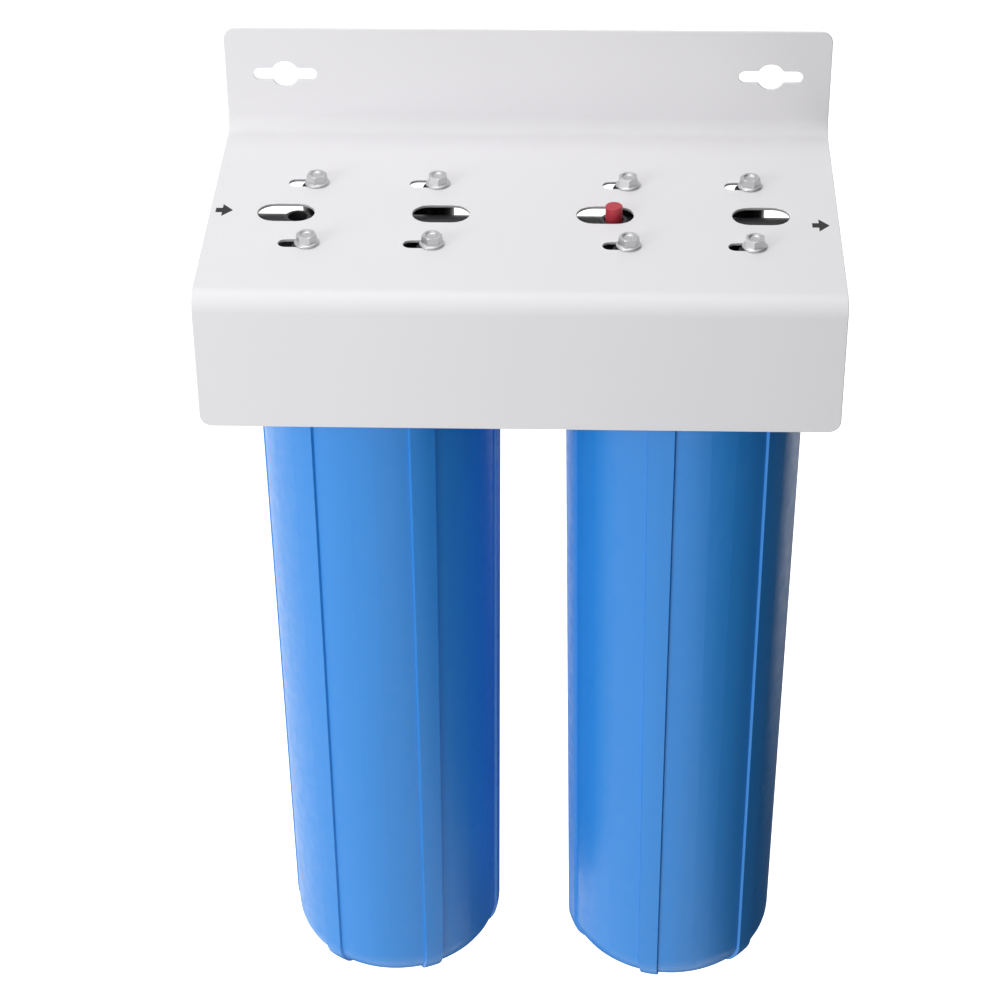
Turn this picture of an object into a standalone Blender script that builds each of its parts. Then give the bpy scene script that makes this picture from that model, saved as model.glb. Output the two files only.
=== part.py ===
"""Whole house water filter: two stages under one folded steel wall bracket. Metres, +Z up.

The origin is on the bracket's wall face, midway between its keyholes. +X runs from the inlet to the outlet
and +Y into the wall. Each stage hangs from an empty on its axis, in the plane where its head meets the
bracket, so the heights in a stage are depths below that plane.
"""
import math

import bmesh
import bpy
from mathutils import Matrix

# Clearances and allowances
SEAT_GAP = 0.0003
CUT_OVERRUN = 0.002
UNION_OVERLAP = 0.0015
MERGE_DISTANCE = 0.000001

# Cartridges
CARTRIDGE_LENGTH = 0.508
CARTRIDGE_RADIUS = 0.0571
GASKET_THICKNESS = 0.003
GASKET_RADIUS = 0.024
GASKET_BORE_RADIUS = 0.0125
CORE_RADIUS = 0.0165
CORE_WALL = 0.002
NETTING_THICKNESS = 0.0015
NETTING_CLEARANCE = 0.0006
END_CAP_THICKNESS = 0.004
END_CAP_LIP_HEIGHT = 0.012
END_CAP_LIP = 0.0022
CARBON_RADIUS = CARTRIDGE_RADIUS - END_CAP_LIP - NETTING_CLEARANCE - NETTING_THICKNESS - SEAT_GAP

# Sump, a moulded bowl screwed up into the skirt
SUMP_WALL = 0.007
WATER_GAP = 0.0098
SUMP_TAPER = 0.0044
SUMP_BASE_RADIUS = CARTRIDGE_RADIUS + WATER_GAP + SUMP_WALL
SUMP_TOP_RADIUS = SUMP_BASE_RADIUS + SUMP_TAPER
MOUTH_RADIUS = SUMP_TOP_RADIUS - SUMP_WALL
NECK_WALL = 0.0085
NECK_RADIUS = MOUTH_RADIUS + NECK_WALL
THREAD_ROOM = 0.0016
RIM_CLEARANCE = 0.0016
RIM_EDGE = 0.0008
RIM_RING_CORD = 0.0053
COLLAR_CLEARANCE = 0.001
COLLAR_STEP = 0.0044
COLLAR_RADIUS = NECK_RADIUS + COLLAR_STEP
COLLAR_HEIGHT = 0.013
COLLAR_FOOT = 0.006
LUG_COUNT = 12
LUG_RISE = 0.005
LUG_WIDTH = 0.010
SUMP_CORNER_RADIUS = 0.027
SUMP_FLOOR_THICKNESS = 0.0098
SEAT_RING_HEIGHT = 0.0154
RIB_COUNT = 6
RIB_RISE = 0.0018
RIB_TOP_WIDTH = 0.0178
RIB_BASE_WIDTH = 0.0136
FOOT_DROP = 0.0017
FOOT_CORNER_RADIUS = 0.028
FOOT_RUN = 0.0319
FOOT_INNER_RADIUS = SUMP_BASE_RADIUS - FOOT_RUN
RIB_TURN_1 = math.radians(24.0)
RIB_TURN_2 = math.radians(-12.0)

# Bracket screws
SCREW_RADIUS = 0.0031
SCREW_ENGAGEMENT = 0.018
SCREW_POINT_LENGTH = 0.003
SCREW_WASHER_RADIUS = 0.008
SCREW_WASHER_THICKNESS = 0.0013
SCREW_HEX_FLATS = 0.012
SCREW_HEX_HEIGHT = 0.0052
SCREW_DISH_RADIUS = 0.0044
SCREW_DISH_DEPTH = 0.0012
SCREW_TURN_STEP = math.radians(17.0)

# Head, a moulded cap: port tube, deck, skirt, screw pillars, relief boss and webs
SKIRT_BORE_RADIUS = NECK_RADIUS + THREAD_ROOM
SKIRT_WALL = 0.0076
SKIRT_RADIUS = SKIRT_BORE_RADIUS + SKIRT_WALL
SKIRT_LENGTH = 0.027
SKIRT_DRAFT = 0.002
SKIRT_BAND_HEIGHT = 0.009
SKIRT_BAND_RISE = 0.0012
PORT_STAND = 0.003
PORT_REACH = SKIRT_RADIUS + PORT_STAND
PORT_BORE_RADIUS = 0.017
PORT_BORE_LENGTH = 0.026
PORT_WALL = 0.0145
PORT_TUBE_RADIUS = PORT_BORE_RADIUS + PORT_WALL
PORT_TUBE_COVER = 0.0035
PORT_AXIS_DEPTH = PORT_TUBE_COVER + PORT_TUBE_RADIUS
PASSAGE_RADIUS = 0.011
DECK_DROP = 0.015
DECK_DEPTH = PORT_AXIS_DEPTH + DECK_DROP
DECK_THICKNESS = 0.007
DECK_EDGE_RADIUS = 0.006
SCREW_SQUARE = 0.0785
PILLAR_RADIUS = 0.010
PILLAR_BORE_RADIUS = SCREW_RADIUS + SEAT_GAP
PILLAR_END_ROOM = 0.004
PILLAR_BORE_DEPTH = SCREW_ENGAGEMENT + PILLAR_END_ROOM
WEB_THICKNESS = 0.004
WEB_TOP_DEPTH = 0.022
NOZZLE_RADIUS = 0.016
NOZZLE_BORE_RADIUS = 0.010
NOZZLE_LENGTH = 0.010
INLET_DROP_RADIUS = 0.0055
INLET_DROP_INSET = 0.0083
INLET_DROP_REACH = MOUTH_RADIUS - INLET_DROP_INSET

# Relief valve in the boss on a head's inlet side
STEM_RADIUS = 0.0022
STEM_CLEARANCE = 0.0003
STEM_ENGAGEMENT = 0.004
RELIEF_RING_CORD = 0.0018
STEM_DISC_MARGIN = 0.0007
STEM_DISC_RADIUS = STEM_RADIUS + SEAT_GAP + RELIEF_RING_CORD + STEM_DISC_MARGIN
STEM_DISC_THICKNESS = 0.002
VALVE_POCKET_RISE = 0.002
VALVE_POCKET_CLEARANCE = 0.0015
VALVE_POCKET_RADIUS = STEM_DISC_RADIUS + VALVE_POCKET_CLEARANCE
BUTTON_RADIUS = 0.00545
BUTTON_CLEARANCE = 0.00085
BUTTON_PROUD = 0.0068
BUTTON_ROOF = 0.006
BUTTON_WALL = 0.0009
BUTTON_EDGE_RADIUS = 0.0008
RELIEF_TRAVEL = 0.003
SPRING_WIRE = 0.0007
SPRING_TURNS = 6
BOSS_REACH = 0.0485
BOSS_BORE_RADIUS = BUTTON_RADIUS + BUTTON_CLEARANCE
BOSS_WALL = 0.0023
BOSS_RADIUS = BOSS_BORE_RADIUS + BOSS_WALL
BOSS_TOP_DEPTH = 0.001
BOSS_FLOOR_DEPTH = 0.012
INLET_PASSAGE_END = BOSS_REACH - VALVE_POCKET_RADIUS

# Nipple between the ports that face each other
PORT_GAP = 0.0174
NIPPLE_RADIUS = PORT_BORE_RADIUS - SEAT_GAP
NIPPLE_BORE_RADIUS = 0.0125
NIPPLE_END_ROOM = 0.004
NIPPLE_ENGAGEMENT = PORT_BORE_LENGTH - NIPPLE_END_ROOM
NIPPLE_HEX_RISE = 0.0013
NIPPLE_HEX_FLATS = 2 * (NIPPLE_RADIUS + NIPPLE_HEX_RISE)
NIPPLE_HEX_CLEARANCE = 0.0027
NIPPLE_HEX_WIDTH = PORT_GAP - 2 * NIPPLE_HEX_CLEARANCE

# Places of the heads under the shelf
HEAD_SPACING = 2 * PORT_REACH + PORT_GAP
HEAD_SHIFT = 0.0055
WALL_CLEARANCE = 0.0268
LIP_CLEARANCE = 0.0138
AXIS_REACH = WALL_CLEARANCE + SKIRT_RADIUS + SKIRT_BAND_RISE

# Bracket, folded from one sheet
SHEET = 0.002
FLANGE_RISE = 0.073
SHELF_REACH = AXIS_REACH + SKIRT_RADIUS + SKIRT_BAND_RISE + LIP_CLEARANCE + SHEET
LIP_DROP = 0.094
BEND_RADIUS = 0.010
CORNER_RADIUS = 0.008
SLOT_SPREAD = 0.0018
SLOT_GROUP_SPACING = HEAD_SPACING + SLOT_SPREAD
BRACKET_END = 0.0984
BRACKET_WIDTH = SLOT_GROUP_SPACING + 2 * BRACKET_END
KEYHOLE_RISE = 0.0402
KEYHOLE_INSET = 0.03955
KEYHOLE_SPACING = BRACKET_WIDTH - 2 * KEYHOLE_INSET
KEYHOLE_DIAMETER = 0.018
KEYHOLE_SLOT_LENGTH = 0.042
KEYHOLE_SLOT_WIDTH = 0.008
VIEW_SLOT_SPREAD = 0.0017
VIEW_SLOT_SPACING = 2 * BOSS_REACH + VIEW_SLOT_SPREAD
VIEW_SLOT_LENGTH = 0.0365
VIEW_SLOT_WIDTH = 0.0222
SCREW_SLOT_LENGTH = 0.0234
SCREW_SLOT_WIDTH = 0.0095

# Facets round a turned shape
COARSE = 12
MEDIUM = 24
FINE = 42
SKIRT_FACETS = 36
ARC_STEPS = 5
HEX_SIDES = 6
SPRING_STEPS = 8
ROUND_CORNER_SHARE = 0.5

# Levels and places worked out from the sizes above
SHELF_TOP = -KEYHOLE_RISE
MOUNT_PLANE = SHELF_TOP - SHEET
FLANGE_TOP = SHELF_TOP + FLANGE_RISE
LIP_BOTTOM = SHELF_TOP - LIP_DROP
STAGE_1_X = HEAD_SHIFT - HEAD_SPACING / 2
STAGE_2_X = HEAD_SHIFT + HEAD_SPACING / 2
CEILING_DEPTH = DECK_DEPTH + DECK_THICKNESS
SKIRT_DEPTH = CEILING_DEPTH + SKIRT_LENGTH
NOZZLE_DEPTH = CEILING_DEPTH + NOZZLE_LENGTH
VALVE_SEAT_DEPTH = PORT_AXIS_DEPTH - PASSAGE_RADIUS - VALVE_POCKET_RISE
RIM_DEPTH = CEILING_DEPTH + RIM_CLEARANCE
COLLAR_DEPTH = SKIRT_DEPTH + COLLAR_CLEARANCE
COLLAR_BOTTOM_DEPTH = COLLAR_DEPTH + COLLAR_HEIGHT
BODY_TOP_DEPTH = COLLAR_BOTTOM_DEPTH + COLLAR_FOOT
CARTRIDGE_TOP_DEPTH = NOZZLE_DEPTH + SEAT_GAP
CARTRIDGE_BOTTOM_DEPTH = CARTRIDGE_TOP_DEPTH + CARTRIDGE_LENGTH
SEAT_RING_DEPTH = CARTRIDGE_BOTTOM_DEPTH + SEAT_GAP
SUMP_FLOOR_DEPTH = SEAT_RING_DEPTH + SEAT_RING_HEIGHT
SUMP_BASE_DEPTH = SUMP_FLOOR_DEPTH + SUMP_FLOOR_THICKNESS
FOOT_DEPTH = SUMP_BASE_DEPTH + FOOT_DROP

COLOURS = {
    "white_powder_coat": ((0.80, 0.79, 0.81), 0.45, 0.0),
    "black_plastic": ((0.020, 0.019, 0.022), 0.42, 0.0),
    "blue_plastic": ((0.045, 0.19, 0.66), 0.38, 0.0),
    "red_plastic": ((0.50, 0.035, 0.055), 0.40, 0.0),
    "zinc_steel": ((0.72, 0.72, 0.73), 0.30, 1.0),
    "stainless_steel": ((0.62, 0.62, 0.63), 0.28, 1.0),
    "brass": ((0.78, 0.57, 0.27), 0.30, 1.0),
    "seal_rubber": ((0.015, 0.015, 0.016), 0.60, 0.0),
    "gasket_foam": ((0.68, 0.67, 0.64), 0.80, 0.0),
    "filter_media": ((0.86, 0.86, 0.84), 0.90, 0.0),
    "core_plastic": ((0.80, 0.82, 0.83), 0.50, 0.0),
    "carbon": ((0.012, 0.012, 0.012), 0.90, 0.0),
    "netting": ((0.78, 0.80, 0.82), 0.70, 0.0),
}


def clear_scene():
    for item in list(bpy.data.objects):
        bpy.data.objects.remove(item, do_unlink=True)


def make_collection(name):
    collection = bpy.data.collections.new(name)
    bpy.context.scene.collection.children.link(collection)
    return collection


def make_material(name):
    colour, roughness, metallic = COLOURS[name]
    material = bpy.data.materials.new(name)
    material.use_nodes = True
    material.diffuse_color = (*colour, 1)
    shader = material.node_tree.nodes["Principled BSDF"]
    shader.inputs["Base Color"].default_value = (*colour, 1)
    shader.inputs["Roughness"].default_value = roughness
    shader.inputs["Metallic"].default_value = metallic
    return material


def place(name, data, parent=None, tool=False):
    """Puts the data in the scene under a name, as a part or as a hidden construction tool."""
    item = bpy.data.objects.new(name, data)
    (TOOLS if tool else PARTS).objects.link(item)
    item.parent = parent
    if tool:
        item.hide_render = True
        item.display_type = "WIRE"
    return item


def finish(item, material):
    """Gives a part its material and smooth shading that keeps its sharp edges."""
    item.data.materials.clear()
    item.data.materials.append(MATERIALS[material])
    item.data.shade_smooth()
    item.data.set_sharp_from_angle(angle=math.radians(30))
    return item


def arc(centre_x, centre_y, radius, start, end, steps=ARC_STEPS):
    """Points of an arc from one angle to another, in degrees."""
    angles = [math.radians(start + (end - start) * step / steps) for step in range(steps + 1)]
    return [(centre_x + radius * math.cos(a), centre_y + radius * math.sin(a)) for a in angles]


def outline_mesh(name, points, thickness):
    """A flat outline with half its thickness on each side of its plane."""
    curve = bpy.data.curves.new(name, "CURVE")
    curve.dimensions = "2D"
    curve.fill_mode = "BOTH"
    curve.extrude = thickness / 2
    spline = curve.splines.new("POLY")
    spline.points.add(len(points) - 1)
    for point, (x, y) in zip(spline.points, points):
        point.co = (x, y, 0, 1)
    spline.use_cyclic_u = True
    drawing = bpy.data.objects.new(name, curve)
    TOOLS.objects.link(drawing)
    mesh = evaluated_mesh(drawing)
    bpy.data.objects.remove(drawing)
    return mesh


def evaluated_mesh(item):
    """A mesh of the object as its modifiers leave it, with doubled points made one."""
    graph = bpy.context.evaluated_depsgraph_get()
    mesh = bpy.data.meshes.new_from_object(item.evaluated_get(graph))
    work = bmesh.new()
    work.from_mesh(mesh)
    bmesh.ops.remove_doubles(work, verts=work.verts, dist=MERGE_DISTANCE)
    bmesh.ops.recalc_face_normals(work, faces=work.faces)
    work.to_mesh(mesh)
    work.free()
    return mesh


def turned(name, profile, parent, segments, tool=False, closed=False):
    """A profile of (radius, depth) points, turned round the vertical axis."""
    mesh = bpy.data.meshes.new(name)
    corners = [(radius, 0, -depth) for radius, depth in profile]
    edges = [(i, i + 1) for i in range(len(corners) - 1)]
    if closed:
        edges.append((len(corners) - 1, 0))
    mesh.from_pydata(corners, edges, [])
    item = place(name, mesh, parent, tool)
    screw = item.modifiers.new("turn", "SCREW")
    screw.axis = "Z"
    screw.steps = segments
    screw.render_steps = segments
    screw.use_merge_vertices = True
    screw.merge_threshold = MERGE_DISTANCE
    item.data = evaluated_mesh(item)
    item.modifiers.clear()
    return item


def ring(name, outer, inner, top, bottom, parent, segments, tool=False):
    profile = [(outer, top), (outer, bottom), (inner, bottom), (inner, top)]
    return turned(name, profile, parent, segments, tool, closed=True)


def cylinder_mesh(name, radius, length, segments):
    work = bmesh.new()
    bmesh.ops.create_cone(
        work, cap_ends=True, segments=segments, radius1=radius, radius2=radius, depth=length
    )
    mesh = bpy.data.meshes.new(name)
    work.to_mesh(mesh)
    work.free()
    return mesh


def upright(name, radius, top, bottom, parent, at=(0, 0), segments=COARSE, tool=True):
    """A vertical cylinder between two depths."""
    item = place(name, cylinder_mesh(name, radius, bottom - top, segments), parent, tool)
    item.location = (*at, -(top + bottom) / 2)
    return item


def along_x(name, radius, start, end, depth, parent, segments=MEDIUM, tool=True):
    """A cylinder along X between two places, with its axis at a depth."""
    item = place(name, cylinder_mesh(name, radius, end - start, segments), parent, tool)
    item.rotation_euler = (0, math.pi / 2, 0)
    item.location = ((start + end) / 2, 0, -depth)
    return item


def combine(item, operation, tools):
    for tool in tools:
        boolean = item.modifiers.new(tool.name, "BOOLEAN")
        boolean.operation = operation
        boolean.object = tool


def bake(item):
    """Makes the modifiers' result the object's own mesh, so that copies can share it."""
    bpy.context.view_layer.update()
    item.data = evaluated_mesh(item)
    item.modifiers.clear()
    return item


def obround(length, width):
    half = (length - width) / 2
    right = arc(half, 0, width / 2, -90, 90)
    left = arc(-half, 0, width / 2, 90, 270)
    return right + left


def keyhole_outline():
    """A round hole with a slot running out of it to each side."""
    slot_radius = KEYHOLE_SLOT_WIDTH / 2
    half = (KEYHOLE_SLOT_LENGTH - KEYHOLE_SLOT_WIDTH) / 2
    meet = math.degrees(math.asin(KEYHOLE_SLOT_WIDTH / KEYHOLE_DIAMETER))
    points = arc(half, 0, slot_radius, -90, 90)
    points += arc(0, 0, KEYHOLE_DIAMETER / 2, meet, 180 - meet)
    points += arc(-half, 0, slot_radius, 90, 270)
    points += arc(0, 0, KEYHOLE_DIAMETER / 2, 180 + meet, 360 - meet)
    return points


def bracket_section():
    """The folded sheet seen along X: y to the right, z up."""
    outer = BEND_RADIUS + SHEET
    back_bend = (-outer, SHELF_TOP + BEND_RADIUS)
    front_bend = (outer - SHELF_REACH, SHELF_TOP - outer)
    face = [(-SHEET, FLANGE_TOP)]
    face += arc(*back_bend, BEND_RADIUS, 0, -90)
    face += arc(*front_bend, outer, 90, 180)
    face += [(-SHELF_REACH, LIP_BOTTOM), (SHEET - SHELF_REACH, LIP_BOTTOM)]
    back = arc(*front_bend, BEND_RADIUS, 180, 90)
    back += arc(*back_bend, outer, -90, 0)
    return face + back + [(0, FLANGE_TOP)]


def round_sheet_corners(mesh):
    """Rounds the four free corners of the folded sheet, whose edges run through its thickness."""
    work = bmesh.new()
    work.from_mesh(mesh)
    levels = (FLANGE_TOP, LIP_BOTTOM)
    corners = []
    for edge in work.edges:
        run = edge.verts[1].co - edge.verts[0].co
        middle = (edge.verts[0].co + edge.verts[1].co) / 2
        at_end = abs(abs(middle.z) - BRACKET_WIDTH / 2) < SEAT_GAP
        at_level = any(abs(middle.y - level) < SEAT_GAP for level in levels)
        if at_end and at_level and abs(run.x) > SEAT_GAP:
            corners.append(edge)
    bmesh.ops.bevel(
        work, geom=corners, offset=CORNER_RADIUS, offset_type="OFFSET", segments=ARC_STEPS,
        profile=ROUND_CORNER_SHARE, affect="EDGES",
    )
    work.to_mesh(mesh)
    work.free()


def slot_cutter(name, length, width, x, y):
    cutter = place(name, outline_mesh(name, obround(length, width), SHEET + 2 * CUT_OVERRUN), tool=True)
    cutter.location = (x, y, SHELF_TOP - SHEET / 2)
    return cutter


def keyhole_cutter(name, x):
    cutter = place(name, outline_mesh(name, keyhole_outline(), SHEET + 2 * CUT_OVERRUN), tool=True)
    cutter.rotation_euler = (math.pi / 2, 0, 0)
    cutter.location = (x, -SHEET / 2, 0)
    return cutter


def make_bracket():
    mesh = outline_mesh("bracket", bracket_section(), BRACKET_WIDTH)
    round_sheet_corners(mesh)
    mesh.transform(Matrix(((0, 0, 1, 0), (1, 0, 0, 0), (0, 1, 0, 0), (0, 0, 0, 1))))
    bracket = place("bracket", mesh)
    cutters = []
    for side in (-1, 1):
        cutters.append(keyhole_cutter(f"keyhole_{side}", side * KEYHOLE_SPACING / 2))
        group_x = side * SLOT_GROUP_SPACING / 2
        for across in (-1, 1):
            x = group_x + across * VIEW_SLOT_SPACING / 2
            name = f"view_slot_{side}_{across}"
            cutters.append(slot_cutter(name, VIEW_SLOT_LENGTH, VIEW_SLOT_WIDTH, x, -AXIS_REACH))
            for along in (-1, 1):
                x = group_x + across * SCREW_SQUARE / 2
                y = along * SCREW_SQUARE / 2 - AXIS_REACH
                name = f"screw_slot_{side}_{across}_{along}"
                cutters.append(slot_cutter(name, SCREW_SLOT_LENGTH, SCREW_SLOT_WIDTH, x, y))
    combine(bracket, "DIFFERENCE", cutters)
    return finish(bracket, "white_powder_coat")


def screw_mesh():
    """A hex washer-head screw with a dished top; its head seats at height 0."""
    end = SHEET + SEAT_GAP + SCREW_ENGAGEMENT
    hex_radius = SCREW_HEX_FLATS / math.sqrt(3)
    head_top = SCREW_WASHER_THICKNESS + SCREW_HEX_HEIGHT
    profile = [
        (0, -SCREW_WASHER_THICKNESS - UNION_OVERLAP),
        (SCREW_RADIUS, -SCREW_WASHER_THICKNESS - UNION_OVERLAP),
        (SCREW_WASHER_RADIUS - SCREW_WASHER_THICKNESS / 2, -SCREW_WASHER_THICKNESS),
        (SCREW_WASHER_RADIUS, -SCREW_WASHER_THICKNESS / 2),
        (SCREW_WASHER_RADIUS, 0),
        (SCREW_RADIUS, 0),
        (SCREW_RADIUS, end - SCREW_POINT_LENGTH),
        (0, end),
    ]
    body = turned("screw_body", profile, None, COARSE, tool=True)
    head = upright(
        "screw_hex", hex_radius, -head_top, -SCREW_WASHER_THICKNESS / 2, None, segments=HEX_SIDES
    )
    dish_profile = [
        (0, -head_top - CUT_OVERRUN),
        (SCREW_DISH_RADIUS + CUT_OVERRUN, -head_top - CUT_OVERRUN),
        (SCREW_DISH_RADIUS - SCREW_DISH_DEPTH, SCREW_DISH_DEPTH - head_top),
        (0, SCREW_DISH_DEPTH - head_top),
    ]
    dish = turned("screw_dish", dish_profile, None, COARSE, tool=True)
    combine(body, "UNION", [head])
    combine(body, "DIFFERENCE", [dish])
    return bake(body).data


def make_screws():
    mesh = screw_mesh()
    mesh.name = "bracket_screw"
    places = {"back_left": (-1, 1), "back_right": (1, 1), "front_left": (-1, -1), "front_right": (1, -1)}
    for stage, x in ((1, STAGE_1_X), (2, STAGE_2_X)):
        for turn, (place_name, (across, along)) in enumerate(places.items()):
            screw = place(f"screw_{stage}_{place_name}", mesh)
            screw.location = (
                x + across * SCREW_SQUARE / 2,
                along * SCREW_SQUARE / 2 - AXIS_REACH,
                SHELF_TOP + SEAT_GAP,
            )
            screw.rotation_euler = (0, 0, SCREW_TURN_STEP * (turn + stage))
            finish(screw, "zinc_steel")


def make_web(name, inner, angle, parent):
    """A triangular web on the deck, running out at an angle until it dies away near the deck's edge."""
    base = DECK_DEPTH + UNION_OVERLAP
    outer = SKIRT_RADIUS - SKIRT_DRAFT - DECK_EDGE_RADIUS - UNION_OVERLAP
    points = [(inner, -WEB_TOP_DEPTH), (inner, -base), (outer, -base)]
    web = place(name, outline_mesh(name, points, WEB_THICKNESS), parent, tool=True)
    web.rotation_euler = (math.pi / 2, 0, angle)
    return web


def head_profile():
    """The outside of the deck and skirt, from the axis out and down to the skirt's rim."""
    top_radius = SKIRT_RADIUS - SKIRT_DRAFT
    edge = arc(top_radius - DECK_EDGE_RADIUS, -(DECK_DEPTH + DECK_EDGE_RADIUS), DECK_EDGE_RADIUS, 90, 0, 2)
    band_top = SKIRT_DEPTH - SKIRT_BAND_HEIGHT
    band_radius = SKIRT_RADIUS + SKIRT_BAND_RISE
    profile = [(0, DECK_DEPTH)] + [(x, -y) for x, y in edge]
    profile += [
        (SKIRT_RADIUS, band_top - SKIRT_BAND_RISE),
        (band_radius, band_top),
        (band_radius, SKIRT_DEPTH),
        (0, SKIRT_DEPTH),
    ]
    return profile


def make_head(stage, parent, drilled):
    prefix = f"head_{stage}"
    head = turned(prefix, head_profile(), parent, SKIRT_FACETS)
    half = SCREW_SQUARE / 2
    corners = [(across * half, along * half) for across in (-1, 1) for along in (-1, 1)]

    adds = [along_x(f"{prefix}_tube", PORT_TUBE_RADIUS, -PORT_REACH, PORT_REACH, PORT_AXIS_DEPTH, parent)]
    pillar_end = DECK_DEPTH + UNION_OVERLAP
    for number, corner in enumerate(corners):
        adds.append(upright(f"{prefix}_pillar_{number}", PILLAR_RADIUS, SEAT_GAP, pillar_end, parent, corner))
        reach = math.hypot(*corner)
        angle = math.atan2(corner[1], corner[0])
        adds.append(make_web(f"{prefix}_corner_web_{number}", reach, angle, parent))
    for side in (-1, 1):
        angle = side * math.pi / 2
        adds.append(make_web(f"{prefix}_side_web_{side}", PORT_TUBE_RADIUS / 2, angle, parent))
    boss_at = (-BOSS_REACH, 0)
    adds.append(upright(f"{prefix}_boss", BOSS_RADIUS, BOSS_TOP_DEPTH, PORT_AXIS_DEPTH, parent, boss_at))

    bore_end = PORT_REACH - PORT_BORE_LENGTH
    thread_room = upright(
        f"{prefix}_thread_room", SKIRT_BORE_RADIUS, CEILING_DEPTH, SKIRT_DEPTH + CUT_OVERRUN, parent,
        segments=MEDIUM,
    )
    nozzle = upright(
        f"{prefix}_nozzle", NOZZLE_RADIUS, CEILING_DEPTH - UNION_OVERLAP, NOZZLE_DEPTH, parent,
        segments=MEDIUM,
    )
    bores = []
    for side, name in ((-1, "inlet"), (1, "outlet")):
        mouth = side * (PORT_REACH + CUT_OVERRUN)
        ends = sorted((mouth, side * bore_end))
        bores.append(along_x(f"{prefix}_{name}_bore", PORT_BORE_RADIUS, *ends, PORT_AXIS_DEPTH, parent))
    inlet_ends = (-bore_end - CUT_OVERRUN, -INLET_PASSAGE_END)
    outlet_ends = (-NOZZLE_BORE_RADIUS + UNION_OVERLAP, bore_end + CUT_OVERRUN)
    for name, ends in (("inlet", inlet_ends), ("outlet", outlet_ends)):
        bores.append(
            along_x(f"{prefix}_{name}_passage", PASSAGE_RADIUS, *ends, PORT_AXIS_DEPTH, parent, COARSE)
        )
    drop_end = CEILING_DEPTH + CUT_OVERRUN
    bores.append(
        upright(
            f"{prefix}_inlet_drop", INLET_DROP_RADIUS, PORT_AXIS_DEPTH, drop_end, parent,
            (-INLET_DROP_REACH, 0),
        )
    )
    bores.append(
        upright(
            f"{prefix}_outlet_drop", NOZZLE_BORE_RADIUS, PORT_AXIS_DEPTH, NOZZLE_DEPTH + CUT_OVERRUN,
            parent, segments=MEDIUM,
        )
    )
    for number, corner in enumerate(corners):
        bores.append(
            upright(
                f"{prefix}_screw_bore_{number}", PILLAR_BORE_RADIUS, -CUT_OVERRUN, PILLAR_BORE_DEPTH,
                parent, corner,
            )
        )
    bores.append(
        upright(f"{prefix}_boss_bore", BOSS_BORE_RADIUS, -CUT_OVERRUN, BOSS_FLOOR_DEPTH, parent, boss_at)
    )
    if drilled:
        stem_bore = STEM_RADIUS + STEM_CLEARANCE
        bores.append(
            upright(f"{prefix}_stem_bore", stem_bore, BOSS_FLOOR_DEPTH - CUT_OVERRUN, PORT_AXIS_DEPTH,
                    parent, boss_at)
        )
        bores.append(
            upright(f"{prefix}_valve_pocket", VALVE_POCKET_RADIUS, VALVE_SEAT_DEPTH, PORT_AXIS_DEPTH,
                    parent, boss_at)
        )
    combine(head, "UNION", adds)
    combine(head, "DIFFERENCE", [thread_room])
    combine(head, "UNION", [nozzle])
    combine(head, "DIFFERENCE", bores)
    return finish(head, "black_plastic")


def make_nipple():
    """A pipe nipple with a hexagon at its middle, between the ports that face each other."""
    middle_x = (STAGE_1_X + STAGE_2_X) / 2
    open_length = HEAD_SPACING - 2 * PORT_REACH
    half = open_length / 2 + NIPPLE_ENGAGEMENT
    centre = place("nipple_centre", None)
    centre.location = (middle_x, -AXIS_REACH, MOUNT_PLANE)
    nipple = along_x("connecting_nipple", NIPPLE_RADIUS, -half, half, PORT_AXIS_DEPTH, centre, tool=False)
    hexagon = along_x(
        "nipple_hexagon", NIPPLE_HEX_FLATS / math.sqrt(3), -NIPPLE_HEX_WIDTH / 2, NIPPLE_HEX_WIDTH / 2,
        PORT_AXIS_DEPTH, centre, HEX_SIDES,
    )
    bore = along_x(
        "nipple_bore", NIPPLE_BORE_RADIUS, -half - CUT_OVERRUN, half + CUT_OVERRUN, PORT_AXIS_DEPTH, centre
    )
    combine(nipple, "UNION", [hexagon])
    combine(nipple, "DIFFERENCE", [bore])
    return finish(nipple, "brass")


def sump_radius(depth):
    """Outer radius of the tapered wall at a depth."""
    start = BODY_TOP_DEPTH
    end = SUMP_BASE_DEPTH - SUMP_CORNER_RADIUS
    share = (depth - start) / (end - start)
    return SUMP_TOP_RADIUS + (SUMP_BASE_RADIUS - SUMP_TOP_RADIUS) * share


def corner_points(radius, depth, corner, steps=ARC_STEPS):
    """(radius, depth) points of a quarter round from a wall down to a floor."""
    quarter = arc(radius - corner, corner - depth, corner, 0, -90, steps)
    return [(x, -y) for x, y in quarter]


def sump_outer_profile():
    """The solid outside of the bowl, from its rim to its base."""
    profile = [
        (0, RIM_DEPTH),
        (NECK_RADIUS - RIM_EDGE, RIM_DEPTH),
        (NECK_RADIUS, RIM_DEPTH + RIM_EDGE),
        (NECK_RADIUS, COLLAR_DEPTH + UNION_OVERLAP),
        (COLLAR_RADIUS - UNION_OVERLAP, COLLAR_DEPTH + UNION_OVERLAP),
        (COLLAR_RADIUS - UNION_OVERLAP, COLLAR_BOTTOM_DEPTH),
        (SUMP_TOP_RADIUS, BODY_TOP_DEPTH),
    ]
    profile += corner_points(SUMP_BASE_RADIUS, SUMP_BASE_DEPTH, SUMP_CORNER_RADIUS)
    return profile + [(0, SUMP_BASE_DEPTH)]


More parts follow.
